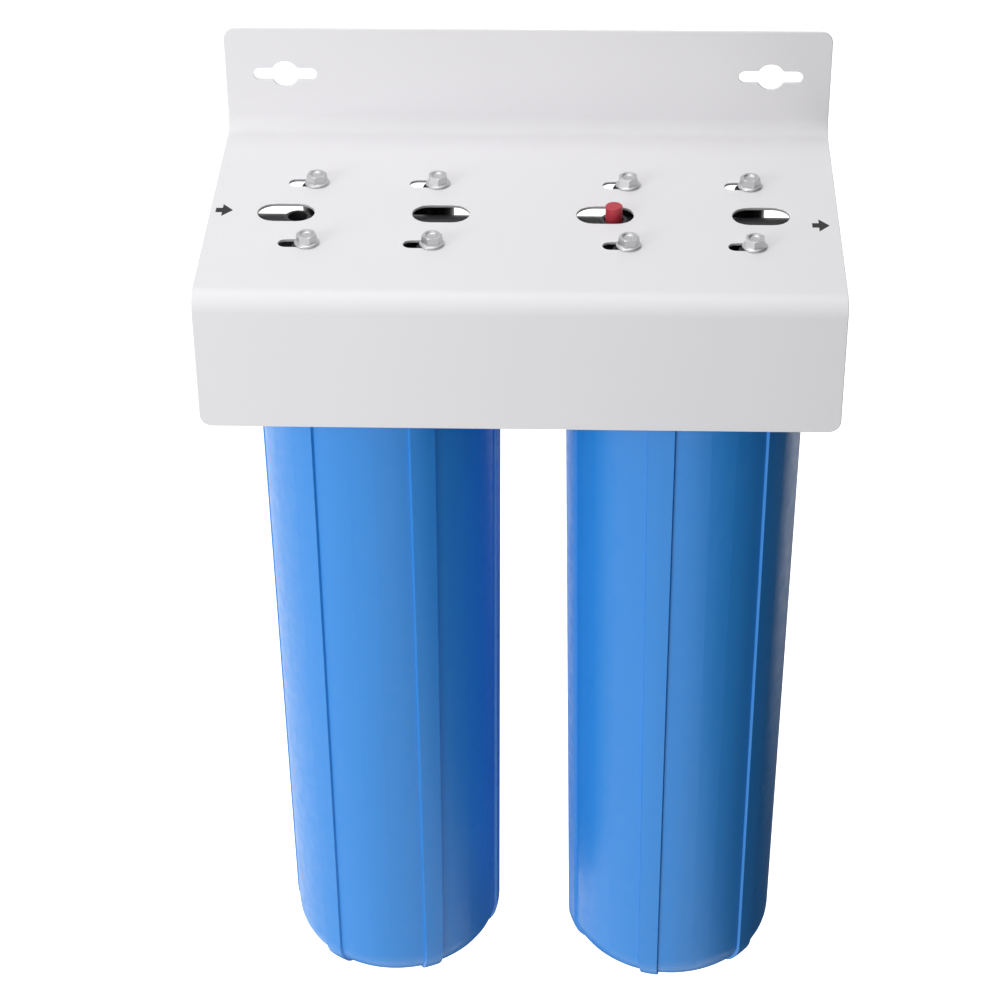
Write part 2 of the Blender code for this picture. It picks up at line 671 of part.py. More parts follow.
def sump_cavity_profile():
    """The hollow of the bowl, with the ring that the cartridge stands on left at its floor."""
    floor_corner = SUMP_CORNER_RADIUS - SUMP_WALL
    profile = [
        (0, RIM_DEPTH - CUT_OVERRUN),
        (MOUTH_RADIUS, RIM_DEPTH - CUT_OVERRUN),
        (MOUTH_RADIUS, BODY_TOP_DEPTH),
    ]
    profile += corner_points(SUMP_BASE_RADIUS - SUMP_WALL, SUMP_FLOOR_DEPTH, floor_corner, 3)
    profile += [
        (NOZZLE_RADIUS, SUMP_FLOOR_DEPTH),
        (NOZZLE_RADIUS, SEAT_RING_DEPTH),
        (NOZZLE_BORE_RADIUS, SEAT_RING_DEPTH),
        (NOZZLE_BORE_RADIUS, SUMP_FLOOR_DEPTH),
        (0, SUMP_FLOOR_DEPTH),
    ]
    return profile


def lug_outline():
    """The collar seen from above, with a wrench lug at each step round it."""
    half_lug = math.degrees(math.asin(LUG_WIDTH / 2 / COLLAR_RADIUS))
    step = 360 / LUG_COUNT
    points = []
    for lug in range(LUG_COUNT):
        start = lug * step
        points += arc(0, 0, COLLAR_RADIUS + LUG_RISE, start - half_lug, start + half_lug, 2)
        points += arc(0, 0, COLLAR_RADIUS, start + half_lug, start + step - half_lug, 2)
    return points


def rib_mesh():
    """One rib: its section in the radial plane, spun over the rib's width and narrowed downwards."""
    top = COLLAR_BOTTOM_DEPTH - UNION_OVERLAP
    outside = [(sump_radius(top) + RIB_RISE, top)]
    outside += corner_points(SUMP_BASE_RADIUS + RIB_RISE, FOOT_DEPTH, FOOT_CORNER_RADIUS)
    outside += [(FOOT_INNER_RADIUS, FOOT_DEPTH)]
    inside = corner_points(
        SUMP_BASE_RADIUS - UNION_OVERLAP, SUMP_BASE_DEPTH - UNION_OVERLAP, SUMP_CORNER_RADIUS
    )
    inside = [(sump_radius(top) - UNION_OVERLAP, top)] + inside
    inside += [(FOOT_INNER_RADIUS, SUMP_BASE_DEPTH - UNION_OVERLAP)]
    section = outside + inside[::-1]
    top_angle = RIB_TOP_WIDTH / SUMP_TOP_RADIUS
    base_angle = RIB_BASE_WIDTH / SUMP_BASE_RADIUS

    work = bmesh.new()
    corners = [work.verts.new((radius, 0, -depth)) for radius, depth in section]
    face = work.faces.new(corners)
    turn = Matrix.Rotation(-top_angle / 2, 3, "Z")
    bmesh.ops.rotate(work, verts=work.verts, cent=(0, 0, 0), matrix=turn)
    bmesh.ops.spin(
        work, geom=[face, *face.edges, *face.verts], cent=(0, 0, 0), axis=(0, 0, 1), angle=top_angle,
        steps=3, use_merge=False,
    )
    bmesh.ops.recalc_face_normals(work, faces=work.faces)
    for corner in work.verts:
        depth = -corner.co.z
        share = min(1, (depth - BODY_TOP_DEPTH) / (SUMP_BASE_DEPTH - BODY_TOP_DEPTH))
        narrowing = 1 + (base_angle / top_angle - 1) * max(0, share)
        radius = math.hypot(corner.co.x, corner.co.y)
        angle = math.atan2(corner.co.y, corner.co.x) * narrowing
        corner.co.x = radius * math.cos(angle)
        corner.co.y = radius * math.sin(angle)
    mesh = bpy.data.meshes.new("rib")
    work.to_mesh(mesh)
    work.free()
    return mesh


def make_sump_mesh(parent):
    sump = turned("sump_1", sump_outer_profile(), parent, FINE)
    collar_height = COLLAR_BOTTOM_DEPTH - COLLAR_DEPTH
    collar = place("sump_lugs", outline_mesh("sump_lugs", lug_outline(), collar_height), parent, tool=True)
    collar.location = (0, 0, -(COLLAR_DEPTH + COLLAR_BOTTOM_DEPTH) / 2)
    rib = rib_mesh()
    adds = [collar]
    for number in range(RIB_COUNT):
        tool = place(f"sump_rib_{number}", rib, parent, tool=True)
        tool.rotation_euler = (0, 0, 2 * math.pi * number / RIB_COUNT)
        adds.append(tool)
    cavity = turned("sump_cavity", sump_cavity_profile(), parent, MEDIUM, tool=True)
    groove = ring(
        "sump_rim_groove", rim_ring_radius() + groove_width() / 2, rim_ring_radius() - groove_width() / 2,
        RIM_DEPTH - CUT_OVERRUN, rim_ring_top() + RIM_RING_CORD + SEAT_GAP, parent, FINE, tool=True,
    )
    combine(sump, "UNION", adds)
    combine(sump, "DIFFERENCE", [cavity, groove])
    return bake(sump)


def rim_ring_radius():
    """Middle of the neck's wall, where the rim's O-ring lies in its groove."""
    return (MOUTH_RADIUS + NECK_RADIUS) / 2


def groove_width():
    return RIM_RING_CORD + 2 * SEAT_GAP


def rim_ring_top():
    return CEILING_DEPTH + SEAT_GAP


def make_sumps(stages):
    first = make_sump_mesh(stages[0])
    second = place("sump_2", first.data, stages[1])
    for sump, turn in ((first, RIB_TURN_1), (second, RIB_TURN_2)):
        sump.rotation_euler = (0, 0, turn - math.pi / 2)
        finish(sump, "blue_plastic")


def torus(name, radius, cord, depth, parent, major, minor, material, at=(0, 0)):
    """An O-ring whose top is at a depth."""
    bpy.ops.mesh.primitive_torus_add(
        major_radius=radius, minor_radius=cord / 2, major_segments=major, minor_segments=minor
    )
    made = bpy.context.object
    mesh = made.data
    bpy.data.objects.remove(made)
    item = place(name, mesh, parent)
    item.location = (*at, -(depth + cord / 2))
    return finish(item, material)


def make_gasket(name, top, parent):
    gasket = ring(name, GASKET_RADIUS, GASKET_BORE_RADIUS, top, top + GASKET_THICKNESS, parent, MEDIUM)
    return finish(gasket, "gasket_foam")


def make_core(name, top, bottom, parent):
    core = ring(name, CORE_RADIUS, CORE_RADIUS - CORE_WALL, top, bottom, parent, COARSE)
    return finish(core, "core_plastic")


def make_sediment_cartridge(parent):
    """A blown-media cartridge: media round a core tube, with a flat gasket at each end."""
    media_top = CARTRIDGE_TOP_DEPTH + GASKET_THICKNESS + SEAT_GAP
    media_bottom = CARTRIDGE_BOTTOM_DEPTH - GASKET_THICKNESS - SEAT_GAP
    make_gasket("sediment_upper_gasket", CARTRIDGE_TOP_DEPTH, parent)
    make_gasket("sediment_lower_gasket", CARTRIDGE_BOTTOM_DEPTH - GASKET_THICKNESS, parent)
    make_core("sediment_core", media_top, media_bottom, parent)
    media = ring(
        "sediment_media", CARTRIDGE_RADIUS, CORE_RADIUS + SEAT_GAP, media_top, media_bottom, parent, MEDIUM
    )
    return finish(media, "filter_media")


def end_cap(name, outer_face, sense, parent):
    """A plastic end cap whose lip runs over the block; sense is 1 where the block is below it."""
    inner_face = outer_face + sense * END_CAP_THICKNESS
    lip_end = outer_face + sense * END_CAP_LIP_HEIGHT
    lip_inner = CARTRIDGE_RADIUS - END_CAP_LIP
    profile = [
        (CARTRIDGE_RADIUS, outer_face),
        (CARTRIDGE_RADIUS, lip_end),
        (lip_inner, lip_end),
        (lip_inner, inner_face),
        (GASKET_BORE_RADIUS, inner_face),
        (GASKET_BORE_RADIUS, outer_face),
    ]
    cap = turned(name, profile if sense > 0 else profile[::-1], parent, MEDIUM, closed=True)
    return finish(cap, "core_plastic")


def make_carbon_cartridge(parent):
    """A carbon block on a core tube, wrapped in netting and closed by an end cap and gasket at each end."""
    upper_face = CARTRIDGE_TOP_DEPTH + GASKET_THICKNESS + SEAT_GAP
    lower_face = CARTRIDGE_BOTTOM_DEPTH - GASKET_THICKNESS - SEAT_GAP
    block_top = upper_face + END_CAP_THICKNESS + SEAT_GAP
    block_bottom = lower_face - END_CAP_THICKNESS - SEAT_GAP
    make_gasket("carbon_upper_gasket", CARTRIDGE_TOP_DEPTH, parent)
    make_gasket("carbon_lower_gasket", CARTRIDGE_BOTTOM_DEPTH - GASKET_THICKNESS, parent)
    end_cap("carbon_upper_cap", upper_face, 1, parent)
    end_cap("carbon_lower_cap", lower_face, -1, parent)
    make_core("carbon_core", block_top, block_bottom, parent)
    block = ring(
        "carbon_block", CARBON_RADIUS, CORE_RADIUS + SEAT_GAP, block_top, block_bottom, parent, MEDIUM
    )
    finish(block, "carbon")
    inner = CARBON_RADIUS + SEAT_GAP
    netting = ring(
        "carbon_netting", inner + NETTING_THICKNESS, inner, block_top, block_bottom, parent, MEDIUM
    )
    return finish(netting, "netting")


def helix_points(radius, top, bottom, turns, steps):
    count = turns * steps
    points = []
    for step in range(count + 1):
        angle = 2 * math.pi * step / steps
        depth = top + (bottom - top) * step / count
        points.append((radius * math.cos(angle), radius * math.sin(angle), -depth))
    return points


def make_spring(name, radius, wire, top, bottom, parent, at):
    curve = bpy.data.curves.new(name, "CURVE")
    curve.dimensions = "3D"
    curve.bevel_depth = wire / 2
    curve.bevel_resolution = 1
    curve.use_fill_caps = True
    points = helix_points(radius, top + wire / 2, bottom - wire / 2, SPRING_TURNS, SPRING_STEPS)
    spline = curve.splines.new("POLY")
    spline.points.add(len(points) - 1)
    for point, co in zip(spline.points, points):
        point.co = (*co, 1)
    spring = place(name, curve, parent)
    spring.location = (*at, 0)
    mesh = evaluated_mesh(spring)
    bpy.data.objects.remove(spring)
    spring = place(name, mesh, parent)
    spring.location = (*at, 0)
    return finish(spring, "stainless_steel")


def make_relief_valve(parent):
    """The red button stands over a spring and holds a stem, whose disc draws an O-ring up to the seat."""
    at = (-BOSS_REACH, 0)
    button_top = -(SHEET + BUTTON_PROUD)
    button_bottom = BOSS_FLOOR_DEPTH - RELIEF_TRAVEL - SEAT_GAP
    roof = button_top + BUTTON_ROOF
    socket = STEM_RADIUS + STEM_CLEARANCE
    stem_top = roof - STEM_ENGAGEMENT
    edge_centre = (BUTTON_RADIUS - BUTTON_EDGE_RADIUS, -(button_top + BUTTON_EDGE_RADIUS))
    edge = arc(*edge_centre, BUTTON_EDGE_RADIUS, 90, 0, 3)
    profile = [(0, button_top)] + [(x, -y) for x, y in edge]
    profile += [
        (BUTTON_RADIUS, button_bottom),
        (BUTTON_RADIUS - BUTTON_WALL, button_bottom),
        (BUTTON_RADIUS - BUTTON_WALL, roof),
        (socket, roof),
        (socket, stem_top - SEAT_GAP),
        (0, stem_top - SEAT_GAP),
    ]
    button = turned("relief_button", profile, parent, MEDIUM)
    button.location = (*at, 0)
    finish(button, "red_plastic")

    ring_top = VALVE_SEAT_DEPTH + SEAT_GAP
    disc_top = ring_top + RELIEF_RING_CORD + SEAT_GAP
    disc_bottom = disc_top + STEM_DISC_THICKNESS
    stem_profile = [
        (0, stem_top),
        (STEM_RADIUS, stem_top),
        (STEM_RADIUS, disc_top),
        (STEM_DISC_RADIUS, disc_top),
        (STEM_DISC_RADIUS, disc_bottom),
        (0, disc_bottom),
    ]
    stem = turned("relief_stem", stem_profile, parent, COARSE)
    stem.location = (*at, 0)
    finish(stem, "stainless_steel")

    ring_radius = STEM_RADIUS + SEAT_GAP + RELIEF_RING_CORD / 2
    torus("relief_o_ring", ring_radius, RELIEF_RING_CORD, ring_top, parent, COARSE, 8, "seal_rubber", at)
    spring_radius = (socket + BUTTON_RADIUS - BUTTON_WALL) / 2
    make_spring(
        "relief_spring", spring_radius, SPRING_WIRE, roof + SEAT_GAP, BOSS_FLOOR_DEPTH - SEAT_GAP, parent, at
    )


def make_stage(stage, x):
    """An empty on a stage's axis, in the plane where the head meets the bracket."""
    empty = place(f"stage_{stage}", None)
    empty.location = (x, -AXIS_REACH, MOUNT_PLANE)
    return empty


clear_scene()
PARTS = make_collection("whole_house_water_filter")
TOOLS = make_collection("construction")
TOOLS.hide_render = True
MATERIALS = {name: make_material(name) for name in COLOURS}

stages = [make_stage(1, STAGE_1_X), make_stage(2, STAGE_2_X)]
make_bracket()
make_screws()
make_head(1, stages[0], drilled=False)
make_head(2, stages[1], drilled=True)
make_nipple()
make_sumps(stages)
for stage, parent in enumerate(stages, start=1):
    torus(
        f"sump_o_ring_{stage}", rim_ring_radius(), RIM_RING_CORD, rim_ring_top(), parent, FINE, 6,
        "seal_rubber",
    )
make_sediment_cartridge(stages[0])
make_carbon_cartridge(stages[1])
make_relief_valve(stages[1])
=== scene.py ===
"""Looks of the whole house water filter: fine surfaces, finishes, light and camera. Metres, +Z up.

The sizes carry the names that they have in the part's own source. As there, the heights in a stage are
depths below the plane where its head meets the bracket, and a stage's pieces are made round their own axis.
"""
import math

import bmesh
import bpy
from mathutils import Matrix, Vector


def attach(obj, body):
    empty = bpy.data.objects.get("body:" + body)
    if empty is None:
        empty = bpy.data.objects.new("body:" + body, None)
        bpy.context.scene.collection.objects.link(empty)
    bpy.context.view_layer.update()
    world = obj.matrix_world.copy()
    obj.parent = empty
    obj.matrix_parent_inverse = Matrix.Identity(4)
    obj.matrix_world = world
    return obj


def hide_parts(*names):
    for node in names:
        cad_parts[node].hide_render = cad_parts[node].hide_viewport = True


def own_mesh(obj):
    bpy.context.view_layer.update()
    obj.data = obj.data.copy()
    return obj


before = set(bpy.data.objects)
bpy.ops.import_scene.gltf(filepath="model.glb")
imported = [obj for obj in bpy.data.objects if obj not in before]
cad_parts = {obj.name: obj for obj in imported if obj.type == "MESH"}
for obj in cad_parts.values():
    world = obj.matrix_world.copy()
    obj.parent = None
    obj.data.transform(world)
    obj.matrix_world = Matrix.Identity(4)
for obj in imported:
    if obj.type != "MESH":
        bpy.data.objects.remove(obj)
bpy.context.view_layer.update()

# Clearances and allowances
SEAT_GAP = 0.0003
CUT_OVERRUN = 0.002
UNION_OVERLAP = 0.0015

# Cartridges
CARTRIDGE_LENGTH = 0.508
CARTRIDGE_RADIUS = 0.0571
GASKET_THICKNESS = 0.003
GASKET_RADIUS = 0.024
GASKET_BORE_RADIUS = 0.0125
CORE_RADIUS = 0.0165
CORE_WALL = 0.002
CORE_WINDOW_LENGTH = 0.0065
CORE_WINDOW_PITCH = 0.010
CORE_COLUMNS = 32
WINDING_RELIEF = 0.0014
WINDING_PITCH = 0.020
WINDING_CELLS = 18
NETTING_THICKNESS = 0.0015
NETTING_CLEARANCE = 0.0006
NETTING_STRANDS = 28
NETTING_TURNS = 1.25
NETTING_STEPS = 60
END_CAP_THICKNESS = 0.004
END_CAP_LIP_HEIGHT = 0.012
END_CAP_LIP = 0.0022
CARBON_RADIUS = CARTRIDGE_RADIUS - END_CAP_LIP - NETTING_CLEARANCE - NETTING_THICKNESS - SEAT_GAP

# Sump
SUMP_WALL = 0.007
SUMP_BASE_RADIUS = 0.0739
SUMP_TOP_RADIUS = 0.0783
MOUTH_RADIUS = SUMP_TOP_RADIUS - SUMP_WALL
NECK_RADIUS = 0.0798
RIM_CLEARANCE = 0.0016
RIM_RING_CORD = 0.0053
COLLAR_CLEARANCE = 0.001
COLLAR_RADIUS = 0.0842
COLLAR_HEIGHT = 0.013
COLLAR_FOOT = 0.006
LUG_COUNT = 12
LUG_RISE = 0.005
LUG_WIDTH = 0.010
SUMP_CORNER_RADIUS = 0.027
SUMP_FLOOR_THICKNESS = 0.0098
SEAT_RING_HEIGHT = 0.0154
RIB_RISE = 0.0018
RIB_TOP_WIDTH = 0.0178
RIB_BASE_WIDTH = 0.0136
FOOT_DROP = 0.0017
FOOT_CORNER_RADIUS = 0.028
FOOT_INNER_RADIUS = 0.042
RIB_TURNS = {1: math.radians(24.0), 2: math.radians(-12.0)}
RIB_EDGE = 0.0008
LUG_EDGE = 0.0012
MOULDED_EDGE = 0.0007
GATE_RADIUS = 0.011
GATE_DEPTH = 0.0007
THREAD_PITCH = 0.006
THREAD_RISE = 0.0012
THREAD_WIDTH = 0.0026
THREAD_MARGIN = 0.0035
THREAD_EMBED = 0.0004

# Head
SKIRT_BORE_RADIUS = 0.0814
SKIRT_RADIUS = 0.089
SKIRT_LENGTH = 0.027
SKIRT_DRAFT = 0.002
SKIRT_BAND_HEIGHT = 0.009
SKIRT_BAND_RISE = 0.0012
PORT_STAND = 0.003
PORT_REACH = SKIRT_RADIUS + PORT_STAND
PORT_BORE_RADIUS = 0.017
PORT_BORE_LENGTH = 0.026
PORT_TUBE_RADIUS = 0.0315
PORT_AXIS_DEPTH = 0.035
PORT_THREAD_PITCH = 0.0022
PORT_THREAD_RISE = 0.0009
PORT_THREAD_WIDTH = 0.0016
PORT_THREAD_MARGIN = 0.0015
PASSAGE_RADIUS = 0.011
DECK_DEPTH = 0.050
DECK_THICKNESS = 0.007
DECK_EDGE_RADIUS = 0.006
SCREW_SQUARE = 0.0785
PILLAR_RADIUS = 0.010
PILLAR_BORE_RADIUS = 0.0034
PILLAR_BORE_DEPTH = 0.022
PILLAR_FLARE = 0.0016
WEB_THICKNESS = 0.004
WEB_TOP_DEPTH = 0.022
INNER_WEB_TOP_DEPTH = 0.012
INNER_WEB_RUN = 0.020
NOZZLE_RADIUS = 0.016
NOZZLE_BORE_RADIUS = 0.010
NOZZLE_LENGTH = 0.010
INLET_DROP_RADIUS = 0.0055
INLET_DROP_REACH = 0.063

# Relief valve
STEM_RADIUS = 0.0022
STEM_CLEARANCE = 0.0003
STEM_BORE_RADIUS = STEM_RADIUS + STEM_CLEARANCE
STEM_ENGAGEMENT = 0.004
RELIEF_RING_CORD = 0.0018
STEM_DISC_RADIUS = 0.005
STEM_DISC_THICKNESS = 0.002
VALVE_POCKET_RISE = 0.002
VALVE_POCKET_RADIUS = 0.0065
BUTTON_RADIUS = 0.00545
BUTTON_PROUD = 0.0068
BUTTON_ROOF = 0.006
BUTTON_WALL = 0.0009
BUTTON_EDGE_RADIUS = 0.0008
RELIEF_TRAVEL = 0.003
SPRING_WIRE = 0.0007
SPRING_TURNS = 6
BOSS_REACH = 0.0485
BOSS_BORE_RADIUS = 0.0063
BOSS_RADIUS = 0.0086
BOSS_TOP_DEPTH = 0.001
BOSS_FLOOR_DEPTH = 0.012
INLET_PASSAGE_END = BOSS_REACH - VALVE_POCKET_RADIUS

# Nipple
PORT_GAP = 0.0174
NIPPLE_RADIUS = PORT_BORE_RADIUS - SEAT_GAP
NIPPLE_BORE_RADIUS = 0.0125
NIPPLE_ENGAGEMENT = 0.022
NIPPLE_HEX_FLATS = 0.036
NIPPLE_HEX_WIDTH = 0.012
NIPPLE_ROOT_RADIUS = NIPPLE_RADIUS - PORT_THREAD_RISE
NIPPLE_REACH = PORT_GAP / 2 + NIPPLE_ENGAGEMENT

# Bracket
SHEET = 0.002
FLANGE_RISE = 0.073
SHELF_REACH = 0.223
LIP_DROP = 0.094
BEND_RADIUS = 0.010
CORNER_RADIUS = 0.008
BRACKET_WIDTH = 0.400
AXIS_REACH = 0.117
HEAD_SPACING = 2 * PORT_REACH + PORT_GAP
HEAD_SHIFT = 0.0055
SLOT_GROUP_SPACING = 0.2032
KEYHOLE_RISE = 0.0402
KEYHOLE_SPACING = 0.3209
KEYHOLE_DIAMETER = 0.018
KEYHOLE_SLOT_LENGTH = 0.042
KEYHOLE_SLOT_WIDTH = 0.008
VIEW_SLOT_SPACING = 0.0987
VIEW_SLOT_LENGTH = 0.0365
VIEW_SLOT_WIDTH = 0.0222
SCREW_SLOT_LENGTH = 0.0234
SCREW_SLOT_WIDTH = 0.0095
COATED_EDGE = 0.0005

# Bracket screws
SCREW_RADIUS = 0.0031
SCREW_ROOT_RADIUS = 0.0026
SCREW_ENGAGEMENT = 0.018
SCREW_POINT_LENGTH = 0.003
SCREW_WASHER_RADIUS = 0.008
SCREW_WASHER_THICKNESS = 0.0013
SCREW_HEX_FLATS = 0.012
SCREW_HEX_HEIGHT = 0.0052
SCREW_HEX_TAPER = 0.0004
SCREW_DISH_RADIUS = 0.0044
SCREW_DISH_DEPTH = 0.0012
SCREW_THREAD_PITCH = 0.0018
SCREW_TURN_STEP = math.radians(17.0)

# Flow arrows on the shelf, each at the place of its port's mark
ARROW_LENGTH = 0.011
ARROW_WIDTH = 0.0155
ARROW_TAIL_WIDTH = 0.0056
ARROW_HEAD_LENGTH = 0.0068
INK_THICKNESS = 0.00005
INLET_ARROW = (-0.1907, -0.1149)
OUTLET_ARROW = (0.1882, -0.1282)

# Fineness of the surfaces
ROUND = 96
SMALL_ROUND = 48
ARC_STEPS = 10
CORNER_STEPS = 3
EDGE_ARC_STEPS = 6
TAPER_ROWS = 24
THREAD_STEPS = 48
THREAD_FADE_STEPS = THREAD_STEPS / 6
RING_STEPS = 16
WINDING_STEPS = 6
EDGE_SHARES = (0.0, 0.25, 0.5, 0.75, 1.0)
SIDE_SHARES = (0.0, 0.33, 0.67)

# Angles from which an edge shades sharp or is softened, and limits for shapes
SHARP_ANGLE = math.radians(35)
BROAD_SHARP_ANGLE = math.radians(50)
WINDING_SHARP_ANGLE = math.radians(60)
BEVEL_ANGLE = math.radians(40)
STRAIGHT_ANGLE = math.radians(20)
SOFTENED_SHARE = 0.45
WALL_SLOPE = 0.1

# The stage: outlines seen from above, and the heights of the lower and upper face
FLOOR_OUTLINE = ((-20, -20), (20, -20), (20, 20), (-20, 20))
FLOOR_LEVELS = (-2.61, -2.6)
SIDE_CARD_OUTLINE = ((0.5, -1.3), (0.51, -1.3), (0.51, 0.1), (0.5, 0.1))
SIDE_CARD_LEVELS = (-1.1, 0.5)
UNDER_CARD_OUTLINE = ((-0.4, -0.1), (0.9, -0.1), (0.9, 4.0), (0.05, 4.0), (0.05, 2.2), (-0.4, 2.2))
UNDER_CARD_LEVELS = (-1.24, -1.23)

# Bodies
FIXED_BODY = "bracket_and_heads"
SUMP_BODIES = {1: "first_sump", 2: "second_sump"}

# Levels and places worked out from the sizes above
SCREW_REACH = SCREW_SQUARE / 2
SHELF_TOP = -KEYHOLE_RISE
MOUNT_PLANE = SHELF_TOP - SHEET
FLANGE_TOP = SHELF_TOP + FLANGE_RISE
LIP_BOTTOM = SHELF_TOP - LIP_DROP
STAGE_X = {1: HEAD_SHIFT - HEAD_SPACING / 2, 2: HEAD_SHIFT + HEAD_SPACING / 2}
CEILING_DEPTH = DECK_DEPTH + DECK_THICKNESS
SKIRT_DEPTH = CEILING_DEPTH + SKIRT_LENGTH
WEB_BASE = DECK_DEPTH + UNION_OVERLAP
NOZZLE_DEPTH = CEILING_DEPTH + NOZZLE_LENGTH
VALVE_SEAT_DEPTH = PORT_AXIS_DEPTH - PASSAGE_RADIUS - VALVE_POCKET_RISE
BUTTON_TOP_DEPTH = -(SHEET + BUTTON_PROUD)
BUTTON_ROOF_DEPTH = BUTTON_TOP_DEPTH + BUTTON_ROOF
STEM_TOP_DEPTH = BUTTON_ROOF_DEPTH - STEM_ENGAGEMENT
RIM_DEPTH = CEILING_DEPTH + RIM_CLEARANCE
COLLAR_DEPTH = SKIRT_DEPTH + COLLAR_CLEARANCE
COLLAR_BOTTOM_DEPTH = COLLAR_DEPTH + COLLAR_HEIGHT
BODY_TOP_DEPTH = COLLAR_BOTTOM_DEPTH + COLLAR_FOOT
CARTRIDGE_TOP_DEPTH = NOZZLE_DEPTH + SEAT_GAP
CARTRIDGE_BOTTOM_DEPTH = CARTRIDGE_TOP_DEPTH + CARTRIDGE_LENGTH
SEAT_RING_DEPTH = CARTRIDGE_BOTTOM_DEPTH + SEAT_GAP
SUMP_FLOOR_DEPTH = SEAT_RING_DEPTH + SEAT_RING_HEIGHT
SUMP_BASE_DEPTH = SUMP_FLOOR_DEPTH + SUMP_FLOOR_THICKNESS
CORNER_TOP_DEPTH = SUMP_BASE_DEPTH - SUMP_CORNER_RADIUS
FOOT_DEPTH = SUMP_BASE_DEPTH + FOOT_DROP
RIM_RING_RADIUS = (MOUTH_RADIUS + NECK_RADIUS) / 2
RIM_RING_TOP = CEILING_DEPTH + SEAT_GAP
RIM_GROOVE = RIM_RING_CORD + 2 * SEAT_GAP
ALONG_X = Matrix.Rotation(math.pi / 2, 4, "Y")
UPRIGHT = Matrix.Rotation(math.pi / 2, 4, "X")


def new_object(name, data):
    item = bpy.data.objects.new(name, data)
    bpy.context.scene.collection.objects.link(item)
    return item


def written(work, mesh):
    """Writes a bmesh to a mesh and frees it."""
    work.to_mesh(mesh)
    work.free()
    return mesh


def skin(rows, loop=False, capped=False):
    """A mesh over rings of points, of which loop joins the last to the first."""
    work = bmesh.new()
    rings = [[work.verts.new(point) for point in row] for row in rows]
    pairs = list(zip(rings, rings[1:]))
    if loop:
        pairs.append((rings[-1], rings[0]))
    for upper, lower in pairs:
        count = max(len(upper), len(lower))
        for here in range(count):
            after = (here + 1) % count
            places = ((upper, here), (lower, here), (lower, after), (upper, after))
            corners = [ring[place % len(ring)] for ring, place in places]
            work.faces.new(list(dict.fromkeys(corners)))
    if capped:
        work.faces.new(rings[0])
        work.faces.new(rings[-1][::-1])
    bmesh.ops.recalc_face_normals(work, faces=work.faces)
    return written(work, bpy.data.meshes.new("skin"))


def arc(centre_x, centre_y, radius, start, end, steps=ARC_STEPS):
    """Points of an arc from one angle to another, in degrees."""
    angles = [math.radians(start + (end - start) * step / steps) for step in range(steps + 1)]
    return [(centre_x + radius * math.cos(a), centre_y + radius * math.sin(a)) for a in angles]


def softened(points, size, closed=False):
    """The outline, its sharp corners rounded over a size or less."""
    result = []
    for here, corner in enumerate(points):
        middle = Vector(corner)
        before = Vector(points[here - 1]) - middle
        after = Vector(points[(here + 1) % len(points)]) - middle
        is_end = not closed and here in (0, len(points) - 1)
        if is_end or before.angle(-after) < STRAIGHT_ANGLE:
            result.append(corner)
            continue
        reach = min(size, SOFTENED_SHARE * before.length, SOFTENED_SHARE * after.length)
        start = middle + before.normalized() * reach
        end = middle + after.normalized() * reach
        for step in range(CORNER_STEPS + 1):
            share = step / CORNER_STEPS
            point = start.lerp(middle, share).lerp(middle.lerp(end, share), share)
            result.append(tuple(point))
    return result


def full_turn(segments):
    return [2 * math.pi * step / segments for step in range(segments)]


def polar(radius, angle, height):
    return (radius * math.cos(angle), radius * math.sin(angle), height)


def turned(profile, segments=ROUND, closed=False):
    """(radius, depth) points turned round the vertical axis."""
    rows = []
    for radius, depth in profile:
        angles = full_turn(segments) if radius else [0]
        rows.append([polar(radius, angle, -depth) for angle in angles])
    return skin(rows, loop=closed)


def bar(radius, start, end, segments=SMALL_ROUND, edge=0.0):
    """A cylinder between two depths, its ends chamfered by an edge."""
    profile = [(0, start), (radius, start), (radius, end), (0, end)]
    if edge:
        profile = softened(profile, edge)
    return turned(profile, segments)


def prism(outline, low, high):
    """A flat outline of (x, y) points between two heights."""
    return skin([[(x, y, z) for x, y in outline] for z in (low, high)], capped=True)


def thread(root, crest, pitch, width, length):
    """A right-hand ridge wound up from height 0, fading away at both ends."""
    steps = max(THREAD_STEPS, round((length - width) / pitch * THREAD_STEPS))
    sunk = root - math.copysign(THREAD_EMBED, crest - root)
    rows = []
    for step in range(steps + 1):
        angle = 2 * math.pi * step / THREAD_STEPS
        height = width / 2 + pitch * step / THREAD_STEPS
        fade = min(1, step / THREAD_FADE_STEPS, (steps - step) / THREAD_FADE_STEPS)
        top = root + (crest - root) * fade
        section = [(sunk, -width / 2), (top, -width / 4), (top, width / 4), (sunk, width / 2)]
        rows.append([polar(radius, angle, height + rise) for radius, rise in section])
    return skin(rows, capped=True)


def tool(mesh, at=(0, 0, 0), turn=None):
    item = new_object(mesh.name, mesh)
    item.matrix_world = Matrix.Translation(at) @ (turn or Matrix.Identity(4))
    return item


def settled(item):
    """Makes what an object's modifiers do its mesh."""
    bpy.context.view_layer.update()
    graph = bpy.context.evaluated_depsgraph_get()
    mesh = bpy.data.meshes.new_from_object(item.evaluated_get(graph))
    item.modifiers.clear()
    item.data = mesh
    return item


def carved(item, operation, tools):
    """Joins shapes to an object, or cuts them out of it."""
    for shape in tools:
        boolean = item.modifiers.new(shape.name, "BOOLEAN")
        boolean.operation = operation
        boolean.object = shape
    settled(item)
    for shape in tools:
        bpy.data.objects.remove(shape)
    return item


def taken(item):
    """An object's mesh, once the object itself is removed."""
    mesh = item.data
    bpy.data.objects.remove(item)
    return mesh


